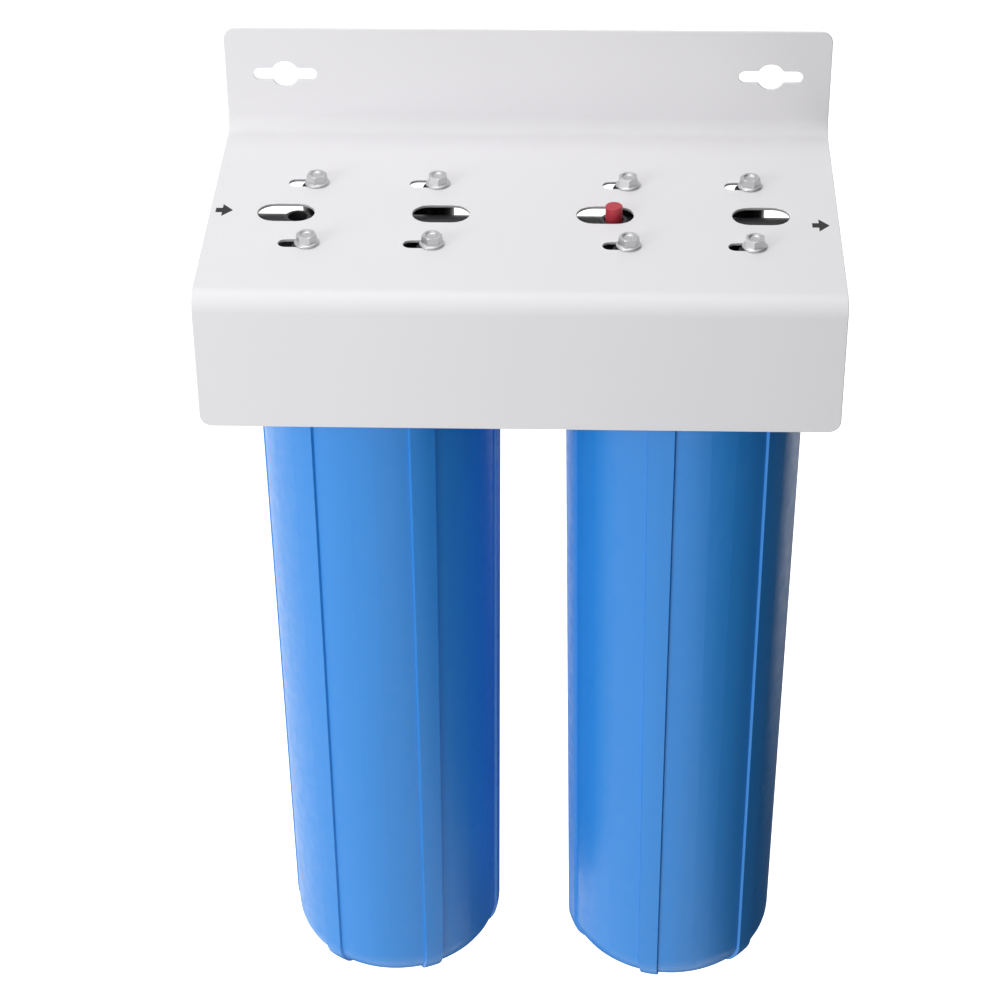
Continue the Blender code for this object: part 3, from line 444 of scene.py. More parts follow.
def finish(item, body, slot, nodes=(), angle=SHARP_ANGLE):
    """Gives a piece its shading, material and body, and hides the CAD nodes it stands for."""
    bpy.context.view_layer.update()
    item.data.transform(item.matrix_world)
    item.matrix_world = Matrix.Identity(4)
    item.data.shade_smooth()
    item.data.set_sharp_from_angle(angle=angle)
    weighted = item.modifiers.new("face_area_normals", "WEIGHTED_NORMAL")
    weighted.keep_sharp = True
    item.data.materials.clear()
    item.data.materials.append(MATERIALS[slot])
    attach(item, body)
    if nodes:
        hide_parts(*nodes)
    return item


def piece(name, mesh, place, slot, body=FIXED_BODY, nodes=(), angle=SHARP_ANGLE):
    """A finished piece, made of a copy of a mesh at a place."""
    item = new_object(name, mesh.copy())
    item.data.name = name
    item.matrix_world = place
    return finish(item, body, slot, nodes, angle)


def stand_in(node, ending, mesh, place, slot, body=FIXED_BODY, angle=SHARP_ANGLE):
    """A piece that stands for a CAD node and is named for it."""
    return piece(f"{node}_{ending}", mesh, place, slot, body, [node], angle)


def stage_matrix(stage, x=0.0, y=0.0, turn=0.0):
    """A place in a stage's frame, whose heights are minus the depths."""
    place = Matrix.Translation((STAGE_X[stage] + x, y - AXIS_REACH, MOUNT_PLANE))
    return place @ Matrix.Rotation(turn, 4, "Z")


def lifted(place, height):
    return place @ Matrix.Translation((0, 0, height))


# The bracket


def slot_ends(length, width):
    """The right and the left half round of a slot."""
    half = (length - width) / 2
    return arc(half, 0, width / 2, -90, 90), arc(-half, 0, width / 2, 90, 270)


def keyhole_outline():
    """A round hole with a slot running out of it to each side."""
    right, left = slot_ends(KEYHOLE_SLOT_LENGTH, KEYHOLE_SLOT_WIDTH)
    meet = math.degrees(math.asin(KEYHOLE_SLOT_WIDTH / KEYHOLE_DIAMETER))
    upper = arc(0, 0, KEYHOLE_DIAMETER / 2, meet, 180 - meet)
    lower = arc(0, 0, KEYHOLE_DIAMETER / 2, 180 + meet, 360 - meet)
    return right + upper + left + lower


def bracket_section():
    """The folded sheet seen along X: y to the right, z up."""
    outer = BEND_RADIUS + SHEET
    back_bend = (-outer, SHELF_TOP + BEND_RADIUS)
    front_bend = (outer - SHELF_REACH, SHELF_TOP - outer)
    face = [(-SHEET, FLANGE_TOP)]
    face += arc(*back_bend, BEND_RADIUS, 0, -90)
    face += arc(*front_bend, outer, 90, 180)
    face += [(-SHELF_REACH, LIP_BOTTOM), (SHEET - SHELF_REACH, LIP_BOTTOM)]
    back = arc(*front_bend, BEND_RADIUS, 180, 90)
    back += arc(*back_bend, outer, -90, 0)
    return face + back + [(0, FLANGE_TOP)]


def round_sheet_corners(mesh):
    """Rounds the four free corners of the folded sheet."""
    work = bmesh.new()
    work.from_mesh(mesh)
    corners = []
    for edge in work.edges:
        run = edge.verts[1].co - edge.verts[0].co
        middle = (edge.verts[0].co + edge.verts[1].co) / 2
        at_end = abs(abs(middle.x) - BRACKET_WIDTH / 2) < SEAT_GAP
        at_level = any(abs(middle.z - level) < SEAT_GAP for level in (FLANGE_TOP, LIP_BOTTOM))
        if at_end and at_level and abs(run.y) > SEAT_GAP:
            corners.append(edge)
    bmesh.ops.bevel(
        work, geom=corners, offset=CORNER_RADIUS, offset_type="OFFSET", segments=ARC_STEPS,
        profile=0.5, affect="EDGES",
    )
    written(work, mesh)


def slot_tool(length, width, x, y):
    """A cutter for a slot in the shelf, its place taken from the heads' row."""
    right, left = slot_ends(length, width)
    mesh = prism(right + left, -SHEET - CUT_OVERRUN, CUT_OVERRUN)
    return tool(mesh, (x, y - AXIS_REACH, SHELF_TOP))


def bracket_cutters():
    """The keyholes in the flange, and the large slots and screw slots in the shelf."""
    cutters = []
    keyhole = prism(keyhole_outline(), -CUT_OVERRUN, SHEET + CUT_OVERRUN)
    for side in (-1, 1):
        cutters.append(tool(keyhole, (side * KEYHOLE_SPACING / 2, 0, 0), UPRIGHT))
        group_x = side * SLOT_GROUP_SPACING / 2
        for across in (-1, 1):
            x = group_x + across * VIEW_SLOT_SPACING / 2
            cutters.append(slot_tool(VIEW_SLOT_LENGTH, VIEW_SLOT_WIDTH, x, 0))
            x = group_x + across * SCREW_REACH
            for y in (-SCREW_REACH, SCREW_REACH):
                cutters.append(slot_tool(SCREW_SLOT_LENGTH, SCREW_SLOT_WIDTH, x, y))
    return cutters


def is_painted_shade_wall(face):
    """Whether a face is the wall of one of the shelf's slots, which gets a grey of painted shade."""
    x, y, z = face.center
    in_shelf = abs(face.normal.z) < WALL_SLOPE and SHELF_TOP - SHEET < z < SHELF_TOP
    off_folds = BEND_RADIUS < -y < SHELF_REACH - BEND_RADIUS
    off_ends = abs(x) < BRACKET_WIDTH / 2 - CORNER_RADIUS
    return in_shelf and off_folds and off_ends


def make_bracket():
    """The folded sheet, its edges softened and the walls of its shelf's slots painted grey as shade."""
    section = bracket_section()
    half = BRACKET_WIDTH / 2
    mesh = skin([[(x, y, z) for y, z in section] for x in (-half, half)], capped=True)
    round_sheet_corners(mesh)
    bracket = carved(new_object("bracket_sheet", mesh), "DIFFERENCE", bracket_cutters())
    edges = bracket.modifiers.new("coated_edges", "BEVEL")
    edges.width = COATED_EDGE
    edges.segments = CORNER_STEPS
    edges.limit_method = "ANGLE"
    edges.angle_limit = BEVEL_ANGLE
    finish(bracket, FIXED_BODY, "white_powder_coat", ["bracket"], BROAD_SHARP_ANGLE)
    # The slot walls get a darker grey: painted shade standing for the shade inside the slots
    bracket.data.materials.append(MATERIALS["slot_wall"])
    for face in bracket.data.polygons:
        face.material_index = int(is_painted_shade_wall(face))


def arrow_outline():
    """An arrow along +X, centred on its own middle."""
    tip = ARROW_LENGTH / 2
    neck = tip - ARROW_HEAD_LENGTH
    tail = ARROW_TAIL_WIDTH / 2
    upper = [(-tip, tail), (neck, tail), (neck, ARROW_WIDTH / 2), (tip, 0)]
    return upper + [(x, -y) for x, y in upper[2::-1]]


def make_arrows():
    mesh = prism(arrow_outline(), 0, INK_THICKNESS)
    for name, place in (("inlet", INLET_ARROW), ("outlet", OUTLET_ARROW)):
        at = Matrix.Translation((*place, SHELF_TOP))
        arrow = piece(f"{name}_flow_arrow", mesh, at, "black_plastic")
        arrow.data.materials[0] = MATERIALS["ink"]


# Screws and other hexagons


def hexagon(levels, chamfer):
    """A hexagon through (flats, depth) levels, its corners turned to a profile."""
    rows = []
    for flats, depth in levels:
        rows.append([(x, y, -depth) for x, y in arc(0, 0, flats / math.sqrt(3), 0, 300, 5)])
    block = tool(skin(rows, capped=True))
    return carved(block, "INTERSECT", [tool(turned(chamfer, SMALL_ROUND))])


def screw_mesh():
    """A dished washer-head screw, whose washer seats at depth 0."""
    end = SHEET + SEAT_GAP + SCREW_ENGAGEMENT
    washer_top = -SCREW_WASHER_THICKNESS
    head_top = washer_top - SCREW_HEX_HEIGHT
    profile = [
        (0, washer_top - UNION_OVERLAP), (SCREW_RADIUS, washer_top - UNION_OVERLAP),
        (SCREW_WASHER_RADIUS - SCREW_WASHER_THICKNESS / 2, washer_top),
        (SCREW_WASHER_RADIUS, washer_top / 2), (SCREW_WASHER_RADIUS, 0),
        (SCREW_ROOT_RADIUS, 0), (SCREW_ROOT_RADIUS, end - SCREW_POINT_LENGTH),
        (0, end),
    ]
    top_flats = SCREW_HEX_FLATS - 2 * SCREW_HEX_TAPER
    chamfer = [
        (0, 0), (SCREW_HEX_FLATS, 0),
        (SCREW_HEX_FLATS / 2 + SCREW_HEX_TAPER, head_top + SCREW_HEX_TAPER),
        (top_flats / 2, head_top), (0, head_top),
    ]
    dish = [
        (0, head_top - CUT_OVERRUN), (SCREW_DISH_RADIUS + CUT_OVERRUN, head_top - CUT_OVERRUN),
        (SCREW_DISH_RADIUS - SCREW_DISH_DEPTH, head_top + SCREW_DISH_DEPTH),
        (0, head_top + SCREW_DISH_DEPTH),
    ]
    screw = tool(turned(softened(profile, SEAT_GAP), SMALL_ROUND))
    head = hexagon([(SCREW_HEX_FLATS, washer_top / 2), (top_flats, head_top)], chamfer)
    carved(screw, "UNION", [head])
    hollow = turned(softened(dish, SCREW_DISH_DEPTH / 2), SMALL_ROUND)
    return taken(carved(screw, "DIFFERENCE", [tool(hollow)]))


def make_screws():
    """The bracket screws and their threads, each turned further than the last."""
    mesh = screw_mesh()
    length = SCREW_ENGAGEMENT + SHEET - SCREW_POINT_LENGTH
    ridge = thread(SCREW_ROOT_RADIUS, SCREW_RADIUS, SCREW_THREAD_PITCH, SCREW_THREAD_PITCH / 2, length)
    places = {"back_left": (-1, 1), "back_right": (1, 1), "front_left": (-1, -1), "front_right": (1, -1)}
    for stage in STAGE_X:
        for turn, (name, (across, along)) in enumerate(places.items()):
            node = f"screw_{stage}_{name}"
            at = (across * SCREW_REACH, along * SCREW_REACH)
            place = stage_matrix(stage, *at, SCREW_TURN_STEP * (turn + stage))
            stand_in(node, "steel", mesh, lifted(place, SHEET + SEAT_GAP), "zinc_steel")
            piece(f"{node}_thread", ridge, lifted(place, -length), "zinc_steel")


# The heads


def head_profile():
    """The outside of the deck and skirt."""
    edge_x = SKIRT_RADIUS - SKIRT_DRAFT - DECK_EDGE_RADIUS
    edge = arc(edge_x, -(DECK_DEPTH + DECK_EDGE_RADIUS), DECK_EDGE_RADIUS, 90, 0, EDGE_ARC_STEPS)
    band_top = SKIRT_DEPTH - SKIRT_BAND_HEIGHT
    band_radius = SKIRT_RADIUS + SKIRT_BAND_RISE
    lower = [
        edge[-1],
        (SKIRT_RADIUS, SKIRT_BAND_RISE - band_top), (band_radius, -band_top),
        (band_radius, -SKIRT_DEPTH), (0, -SKIRT_DEPTH),
    ]
    return [(x, -y) for x, y in [(0, -DECK_DEPTH)] + edge[:-1] + softened(lower, MOULDED_EDGE)]


def web_tool(points, angle, at=(0, 0, 0)):
    """An upright web of (reach, height) points, at an angle."""
    mesh = prism(points, -WEB_THICKNESS / 2, WEB_THICKNESS / 2)
    return tool(mesh, at, Matrix.Rotation(angle, 4, "Z") @ UPRIGHT)


def outer_web(inner, angle):
    """A triangular web that dies away near the deck's edge."""
    outer = SKIRT_RADIUS - SKIRT_DRAFT - DECK_EDGE_RADIUS - UNION_OVERLAP
    return web_tool([(inner, -WEB_TOP_DEPTH), (inner, -WEB_BASE), (outer, -WEB_BASE)], angle)


def inner_web(x, y):
    """A web from a pillar towards the middle, level and then falling to the deck."""
    start = abs(x)
    points = [
        (start, -INNER_WEB_TOP_DEPTH), (start, -WEB_BASE),
        (WEB_THICKNESS, -WEB_BASE), (start - INNER_WEB_RUN, -INNER_WEB_TOP_DEPTH),
    ]
    return web_tool(points, math.acos(math.copysign(1, x)), (0, y, 0))


def across_tool(radius, start, end, edge=0.0, segments=SMALL_ROUND):
    """A cylinder along X between two places, on the ports' axis."""
    mesh = bar(radius, -end, -start, segments, edge)
    return tool(mesh, (0, 0, -PORT_AXIS_DEPTH), ALONG_X)


def drill(radius, top, bottom, x=0, y=0):
    """A cutter for an upright bore between two depths."""
    return tool(bar(radius, top, bottom), (x, y, 0))


def pillar_mesh():
    """A screw pillar, flared where it meets the deck."""
    profile = [
        (0, SEAT_GAP), (PILLAR_RADIUS, SEAT_GAP),
        (PILLAR_RADIUS, DECK_DEPTH - PILLAR_FLARE),
        (PILLAR_RADIUS + PILLAR_FLARE, DECK_DEPTH + SEAT_GAP),
        (PILLAR_RADIUS + PILLAR_FLARE, WEB_BASE), (0, WEB_BASE),
    ]
    return turned(softened(profile, MOULDED_EDGE), SMALL_ROUND)


def head_corners():
    ends = (-SCREW_REACH, SCREW_REACH)
    return [(x, y) for x in ends for y in ends]


def head_additions():
    """The port tube, screw pillars, webs and relief boss."""
    adds = [across_tool(PORT_TUBE_RADIUS, -PORT_REACH, PORT_REACH, MOULDED_EDGE, ROUND)]
    pillar = pillar_mesh()
    for x, y in head_corners():
        adds += [tool(pillar, (x, y, 0)), outer_web(math.hypot(x, y), math.atan2(y, x)), inner_web(x, y)]
    adds += [outer_web(PORT_TUBE_RADIUS / 2, side * math.pi / 2) for side in (-1, 1)]
    boss = bar(BOSS_RADIUS, BOSS_TOP_DEPTH, PORT_AXIS_DEPTH, edge=MOULDED_EDGE)
    return adds + [tool(boss, (-BOSS_REACH, 0, 0))]


def head_bores():
    """The ports, water passages, screw holes and relief pocket."""
    bore_end = PORT_REACH - PORT_BORE_LENGTH
    port_end = PORT_REACH + CUT_OVERRUN
    return [
        across_tool(PORT_BORE_RADIUS, -port_end, -bore_end),
        across_tool(PORT_BORE_RADIUS, bore_end, port_end),
        across_tool(PASSAGE_RADIUS, -bore_end - CUT_OVERRUN, -INLET_PASSAGE_END),
        across_tool(PASSAGE_RADIUS, UNION_OVERLAP - NOZZLE_BORE_RADIUS, bore_end + CUT_OVERRUN),
        drill(INLET_DROP_RADIUS, PORT_AXIS_DEPTH, CEILING_DEPTH + CUT_OVERRUN, -INLET_DROP_REACH),
        drill(NOZZLE_BORE_RADIUS, PORT_AXIS_DEPTH, NOZZLE_DEPTH + CUT_OVERRUN),
        *[drill(PILLAR_BORE_RADIUS, -CUT_OVERRUN, PILLAR_BORE_DEPTH, x, y) for x, y in head_corners()],
        drill(BOSS_BORE_RADIUS, -CUT_OVERRUN, BOSS_FLOOR_DEPTH, -BOSS_REACH),
    ]


def head_mesh():
    """A head whose relief boss is still blind."""
    head = carved(tool(turned(head_profile())), "UNION", head_additions())
    room_end = SKIRT_DEPTH + CUT_OVERRUN
    room = bar(SKIRT_BORE_RADIUS, CEILING_DEPTH, room_end, ROUND, MOULDED_EDGE)
    carved(head, "DIFFERENCE", [tool(room)])
    nozzle_top = CEILING_DEPTH - UNION_OVERLAP
    nozzle = bar(NOZZLE_RADIUS, nozzle_top, NOZZLE_DEPTH, edge=MOULDED_EDGE)
    carved(head, "UNION", [tool(nozzle)])
    return taken(carved(head, "DIFFERENCE", head_bores()))


def make_heads():
    """The two heads, the second one drilled for the relief valve."""
    blind = head_mesh()
    bores = [
        drill(STEM_BORE_RADIUS, BOSS_FLOOR_DEPTH - CUT_OVERRUN, PORT_AXIS_DEPTH, -BOSS_REACH),
        drill(VALVE_POCKET_RADIUS, VALVE_SEAT_DEPTH, PORT_AXIS_DEPTH, -BOSS_REACH),
    ]
    drilled = taken(carved(tool(blind.copy()), "DIFFERENCE", bores))
    for stage, mesh in ((1, blind), (2, drilled)):
        stand_in(f"head_{stage}", "moulding", mesh, stage_matrix(stage), "black_plastic")


def along_ports(x, side):
    """A place on the ports' axis, whose heights run towards -X or +X."""
    turn = Matrix.Rotation(side * math.pi / 2, 4, "Y")
    return Matrix.Translation((x, -AXIS_REACH, MOUNT_PLANE - PORT_AXIS_DEPTH)) @ turn


def sump_matrix(stage, height=0.0):
    """A place at a height on the axis of a sump, turned as its ribs are."""
    return lifted(stage_matrix(stage, turn=RIB_TURNS[stage] - math.pi / 2), height)


def make_head_threads():
    """The thread in each skirt, half a pitch from its sump's, and in each open port."""
    rise = THREAD_MARGIN + THREAD_PITCH / 2
    length = COLLAR_DEPTH - CEILING_DEPTH - rise - THREAD_MARGIN
    crest = SKIRT_BORE_RADIUS - THREAD_RISE
    ridge = thread(SKIRT_BORE_RADIUS, crest, THREAD_PITCH, THREAD_WIDTH, length)
    port_length = PORT_BORE_LENGTH - 2 * PORT_THREAD_MARGIN
    port_crest = PORT_BORE_RADIUS - PORT_THREAD_RISE
    port_ridge = thread(PORT_BORE_RADIUS, port_crest, PORT_THREAD_PITCH, PORT_THREAD_WIDTH, port_length)
    for stage, side in ((1, -1), (2, 1)):
        place = sump_matrix(stage, rise - COLLAR_DEPTH)
        piece(f"head_{stage}_skirt_thread", ridge, place, "black_plastic")
        start = STAGE_X[stage] + side * (PORT_REACH - PORT_BORE_LENGTH + PORT_THREAD_MARGIN)
        piece(f"head_{stage}_port_thread", port_ridge, along_ports(start, side), "black_plastic")


def nipple_mesh():
    """A bored barrel with a hexagon at its middle."""
    corner = NIPPLE_HEX_FLATS / math.sqrt(3)
    face = NIPPLE_HEX_WIDTH / 2
    shoulder = face - (corner - NIPPLE_HEX_FLATS / 2) / 2
    lower = [(corner + SEAT_GAP, shoulder), (NIPPLE_HEX_FLATS / 2, face), (0, face)]
    chamfer = [(radius, -depth) for radius, depth in lower[::-1]] + lower
    nut = hexagon([(NIPPLE_HEX_FLATS, face), (NIPPLE_HEX_FLATS, -face)], chamfer)
    barrel = bar(NIPPLE_ROOT_RADIUS, -NIPPLE_REACH, NIPPLE_REACH, edge=PORT_THREAD_RISE)
    nipple = carved(tool(barrel), "UNION", [nut])
    bore_end = NIPPLE_REACH + CUT_OVERRUN
    return taken(carved(nipple, "DIFFERENCE", [drill(NIPPLE_BORE_RADIUS, -bore_end, bore_end)]))


def make_nipple():
    """The nipple between the heads, with a thread to each side."""
    stand_in("connecting_nipple", "barrel", nipple_mesh(), along_ports(HEAD_SHIFT, 1), "brass")
    face = NIPPLE_HEX_WIDTH / 2
    length = NIPPLE_REACH - face - 2 * PORT_THREAD_MARGIN
    ridge = thread(NIPPLE_ROOT_RADIUS, NIPPLE_RADIUS, PORT_THREAD_PITCH, PORT_THREAD_WIDTH, length)
    for name, side in (("inlet", -1), ("outlet", 1)):
        place = along_ports(HEAD_SHIFT + side * (face + PORT_THREAD_MARGIN), side)
        piece(f"connecting_nipple_{name}_thread", ridge, place, "brass")


# The sumps


def sump_radius(depth):
    """Outer radius of the tapered wall at a depth."""
    share = (depth - BODY_TOP_DEPTH) / (CORNER_TOP_DEPTH - BODY_TOP_DEPTH)
    return SUMP_TOP_RADIUS + (SUMP_BASE_RADIUS - SUMP_TOP_RADIUS) * share


def quarter(radius, depth, corner):
    """(radius, depth) points from a wall round to a floor."""
    return [(x, -y) for x, y in arc(radius - corner, corner - depth, corner, 0, -90)]


def cavity_profile():
    """The inside of the bowl, from the middle of its floor up to the neck's foot."""
    wall = quarter(SUMP_BASE_RADIUS - SUMP_WALL, SUMP_FLOOR_DEPTH, SUMP_CORNER_RADIUS - SUMP_WALL)
    inner_ring = RIM_RING_RADIUS - RIM_GROOVE / 2
    outer_ring = RIM_RING_RADIUS + RIM_GROOVE / 2
    groove_floor = RIM_RING_TOP + RIM_RING_CORD + SEAT_GAP
    points = [
        (0, SUMP_FLOOR_DEPTH), (NOZZLE_BORE_RADIUS, SUMP_FLOOR_DEPTH),
        (NOZZLE_BORE_RADIUS, SEAT_RING_DEPTH), (NOZZLE_RADIUS, SEAT_RING_DEPTH),
        (NOZZLE_RADIUS, SUMP_FLOOR_DEPTH),
        *wall[::-1],
        (MOUTH_RADIUS, BODY_TOP_DEPTH), (MOUTH_RADIUS, RIM_DEPTH),
        (inner_ring, RIM_DEPTH), (inner_ring, groove_floor),
        (outer_ring, groove_floor), (outer_ring, RIM_DEPTH),
        (NECK_RADIUS, RIM_DEPTH), (NECK_RADIUS, COLLAR_DEPTH),
    ]
    return softened(points, MOULDED_EDGE)


def collar_rows():
    """The collar's (plain, raised) points, raised on its wrench lugs."""
    rows = []
    for radius in (COLLAR_RADIUS, COLLAR_RADIUS + LUG_RISE):
        points = [
            (NECK_RADIUS, COLLAR_DEPTH), (radius, COLLAR_DEPTH),
            (radius, COLLAR_BOTTOM_DEPTH), (COLLAR_RADIUS - UNION_OVERLAP, COLLAR_BOTTOM_DEPTH),
        ]
        rows.append(softened(points, 2 * MOULDED_EDGE)[1:])
    return list(zip(*rows))


def body_rows():
    """The outside below the collar as (plain, raised) points, raised on the ribs and their feet."""
    rows = []
    foot_top = COLLAR_RADIUS - UNION_OVERLAP
    shares = [step / CORNER_STEPS for step in range(1, CORNER_STEPS + 1)]
    for share in shares:
        depth = COLLAR_BOTTOM_DEPTH + COLLAR_FOOT * share
        radius = foot_top + (SUMP_TOP_RADIUS - foot_top) * share
        rows.append(((radius, depth), (max(radius, sump_radius(depth) + RIB_RISE), depth)))
    for step in range(1, TAPER_ROWS + 1):
        depth = BODY_TOP_DEPTH + (CORNER_TOP_DEPTH - BODY_TOP_DEPTH) * step / TAPER_ROWS
        rows.append(((sump_radius(depth), depth), (sump_radius(depth) + RIB_RISE, depth)))
    plain = quarter(SUMP_BASE_RADIUS, SUMP_BASE_DEPTH, SUMP_CORNER_RADIUS)
    raised = quarter(SUMP_BASE_RADIUS + RIB_RISE, FOOT_DEPTH, FOOT_CORNER_RADIUS)
    rows += list(zip(plain, raised))[1:]
    inner_edge = FOOT_INNER_RADIUS + MOULDED_EDGE
    for share in shares:
        under, foot = [end[0] + (inner_edge - end[0]) * share for end in (plain[-1], raised[-1])]
        rows.append(((under, SUMP_BASE_DEPTH), (foot, FOOT_DEPTH)))
    for radius, height in arc(inner_edge, MOULDED_EDGE, MOULDED_EDGE, -90, -180, CORNER_STEPS)[1:]:
        rows.append(((radius, SUMP_BASE_DEPTH), (radius, FOOT_DEPTH - height)))
    return rows


def base_profile():
    """The middle of the base, with the moulding gate's shallow mark."""
    return [
        (FOOT_INNER_RADIUS - MOULDED_EDGE, SUMP_BASE_DEPTH),
        (GATE_RADIUS + 2 * MOULDED_EDGE, SUMP_BASE_DEPTH),
        (GATE_RADIUS + MOULDED_EDGE, SUMP_BASE_DEPTH), (GATE_RADIUS, SUMP_BASE_DEPTH - GATE_DEPTH),
        (0, SUMP_BASE_DEPTH - GATE_DEPTH),
    ]


def sector_columns(half_angle, edge_angle):
    """(angle, raised share) across one sector, close together over both edges."""
    side = math.pi / LUG_COUNT
    foot = half_angle + edge_angle / 2
    top = half_angle - edge_angle / 2
    columns = [(side + (foot - side) * share, 0.0) for share in SIDE_SHARES]
    columns += [(foot + (top - foot) * share, share * share * (3 - 2 * share)) for share in EDGE_SHARES]
    columns.append((top / 2, 1.0))
    left = [(-angle, share) for angle, share in columns]
    return left + [(0.0, 1.0)] + columns[:0:-1]


def sump_ring(plain, raised, half_angle, edge, every):
    """One ring, raised in every sector or in every second one."""
    if plain[0] == 0:
        return [(0, 0, -plain[1])]
    columns = sector_columns(half_angle, edge / max(plain[0], FOOT_INNER_RADIUS))
    ring = []
    for sector in range(LUG_COUNT):
        for angle, share in columns:
            share = share if every or sector % 2 == 0 else 0.0
            radius, depth = [low + (high - low) * share for low, high in zip(plain, raised)]
            ring.append(polar(radius, angle + 2 * math.pi * sector / LUG_COUNT, -depth))
    return ring


def rib_half_angle(depth):
    top = RIB_TOP_WIDTH / SUMP_TOP_RADIUS / 2
    base = RIB_BASE_WIDTH / SUMP_BASE_RADIUS / 2
    share = (depth - BODY_TOP_DEPTH) / (SUMP_BASE_DEPTH - BODY_TOP_DEPTH)
    return top + (base - top) * min(1, max(0, share))


def sump_mesh():
    """One closed skin: the cavity, the neck, the lugged collar and the ribbed body."""
    lug_half = math.asin(LUG_WIDTH / 2 / COLLAR_RADIUS)
    base_half = rib_half_angle(SUMP_BASE_DEPTH)
    rows = [sump_ring(point, point, lug_half, LUG_EDGE, True) for point in cavity_profile()]
    rows += [sump_ring(*pair, lug_half, LUG_EDGE, True) for pair in collar_rows()]
    rows += [sump_ring(*pair, rib_half_angle(pair[0][1]), RIB_EDGE, False) for pair in body_rows()]
    rows += [sump_ring(point, point, base_half, RIB_EDGE, False) for point in base_profile()]
    return skin(rows)


def make_sumps():
    mesh = sump_mesh()
    length = COLLAR_DEPTH - RIM_DEPTH - 2 * THREAD_MARGIN
    ridge = thread(NECK_RADIUS, NECK_RADIUS + THREAD_RISE, THREAD_PITCH, THREAD_WIDTH, length)
    for stage, body in SUMP_BODIES.items():
        stand_in(f"sump_{stage}", "bowl", mesh, sump_matrix(stage), "blue_plastic", body, BROAD_SHARP_ANGLE)
        place = sump_matrix(stage, THREAD_MARGIN - COLLAR_DEPTH)
        piece(f"sump_{stage}_thread", ridge, place, "blue_plastic", body)


# The relief valve and the seals


def o_ring(radius, cord, top):
    """A ring of round section, whose top is at a depth."""
    middle = top + cord / 2
    section = [(radius + x, middle - y) for x, y in arc(0, 0, cord / 2, 0, 360, RING_STEPS)[:-1]]
    return turned(section, closed=True)


def washer(outer, inner, top, bottom):
    """A ring or tube between two depths, its edges softened."""
    section = [(inner, top), (outer, top), (outer, bottom), (inner, bottom)]
    return turned(softened(section, MOULDED_EDGE, closed=True), closed=True)


def coil_level(turn, turns, wire, height):
    """Height of the wire's middle: one closed turn at each end, an even pitch between."""
    open_turns = turns - 2
    pitch = (height - 3 * wire) / open_turns
    rise = wire * min(turn, 1) + pitch * min(max(turn - 1, 0), open_turns) + wire * max(turn - turns + 1, 0)
    return wire / 2 + rise


def coil(radius, wire, turns, top, bottom):
    """A round wire wound up between two depths."""
    section = arc(0, 0, wire / 2, 0, 360, RING_STEPS)[:-1]
    rows = []
    for step in range(turns * THREAD_STEPS + 1):
        turn = step / THREAD_STEPS
        level = coil_level(turn, turns, wire, bottom - top) - bottom
        rows.append([polar(radius + x, 2 * math.pi * turn, level + y) for x, y in section])
    return skin(rows, capped=True)


def button_mesh():
    """A hollow cup round the spring, with the stem's socket in its roof."""
    bottom = BOSS_FLOOR_DEPTH - RELIEF_TRAVEL - SEAT_GAP
    socket_end = STEM_TOP_DEPTH - SEAT_GAP
    centre = (BUTTON_RADIUS - BUTTON_EDGE_RADIUS, -(BUTTON_TOP_DEPTH + BUTTON_EDGE_RADIUS))
    edge = [(x, -y) for x, y in arc(*centre, BUTTON_EDGE_RADIUS, 90, 0, EDGE_ARC_STEPS)]
    lower = [
        edge[-1],
        (BUTTON_RADIUS, bottom), (BUTTON_RADIUS - BUTTON_WALL, bottom),
        (BUTTON_RADIUS - BUTTON_WALL, BUTTON_ROOF_DEPTH), (STEM_BORE_RADIUS, BUTTON_ROOF_DEPTH),
        (STEM_BORE_RADIUS, socket_end), (0, socket_end),
    ]
    profile = [(0, BUTTON_TOP_DEPTH)] + edge[:-1] + softened(lower, SEAT_GAP)
    return turned(profile, SMALL_ROUND)


def stem_mesh(disc_top):
    """The valve's stem, with the disc at its foot."""
    disc_bottom = disc_top + STEM_DISC_THICKNESS
    profile = [
        (0, STEM_TOP_DEPTH), (STEM_RADIUS, STEM_TOP_DEPTH),
        (STEM_RADIUS, disc_top), (STEM_DISC_RADIUS, disc_top),
        (STEM_DISC_RADIUS, disc_bottom), (0, disc_bottom),
    ]
    return turned(softened(profile, SEAT_GAP), SMALL_ROUND)


def make_relief_valve():
    """The button, the stem, the O-ring on its disc, and the spring."""
    place = stage_matrix(2, -BOSS_REACH)
    body = "relief_valve"
    stand_in("relief_button", "cap", button_mesh(), place, "red_plastic", body)
    ring_top = VALVE_SEAT_DEPTH + SEAT_GAP
    disc_top = ring_top + RELIEF_RING_CORD + SEAT_GAP
    stand_in("relief_stem", "rod", stem_mesh(disc_top), place, "stainless_steel", body)
    seal = o_ring(STEM_RADIUS + SEAT_GAP + RELIEF_RING_CORD / 2, RELIEF_RING_CORD, ring_top)
    stand_in("relief_o_ring", "seal", seal, place, "seal_rubber", body)
    top = BUTTON_ROOF_DEPTH + SEAT_GAP
    bottom = BOSS_FLOOR_DEPTH - SEAT_GAP
    radius = (STEM_BORE_RADIUS + BUTTON_RADIUS - BUTTON_WALL) / 2
    winding = coil(radius, SPRING_WIRE, SPRING_TURNS, top, bottom)
    spring = stand_in("relief_spring", "coil", winding, place, "stainless_steel")
    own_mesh(spring)


def make_sump_seals():
    ring = o_ring(RIM_RING_RADIUS, RIM_RING_CORD, RIM_RING_TOP)
    for stage, body in SUMP_BODIES.items():
        nodes = [f"sump_o_ring_{stage}"]
        piece(f"sump_{stage}_rim_seal", ring, stage_matrix(stage), "seal_rubber", body, nodes)


# The cartridges


def window_faces(work, bands):
    """Window faces: pairs of columns with a pair between, staggered from band to band."""
    faces = []
    for band in range(1, bands, 2):
        for column in range(CORE_COLUMNS):
            if (column + band) % 4 < 2:
                faces.append(work.faces[band * CORE_COLUMNS + column])
    return faces


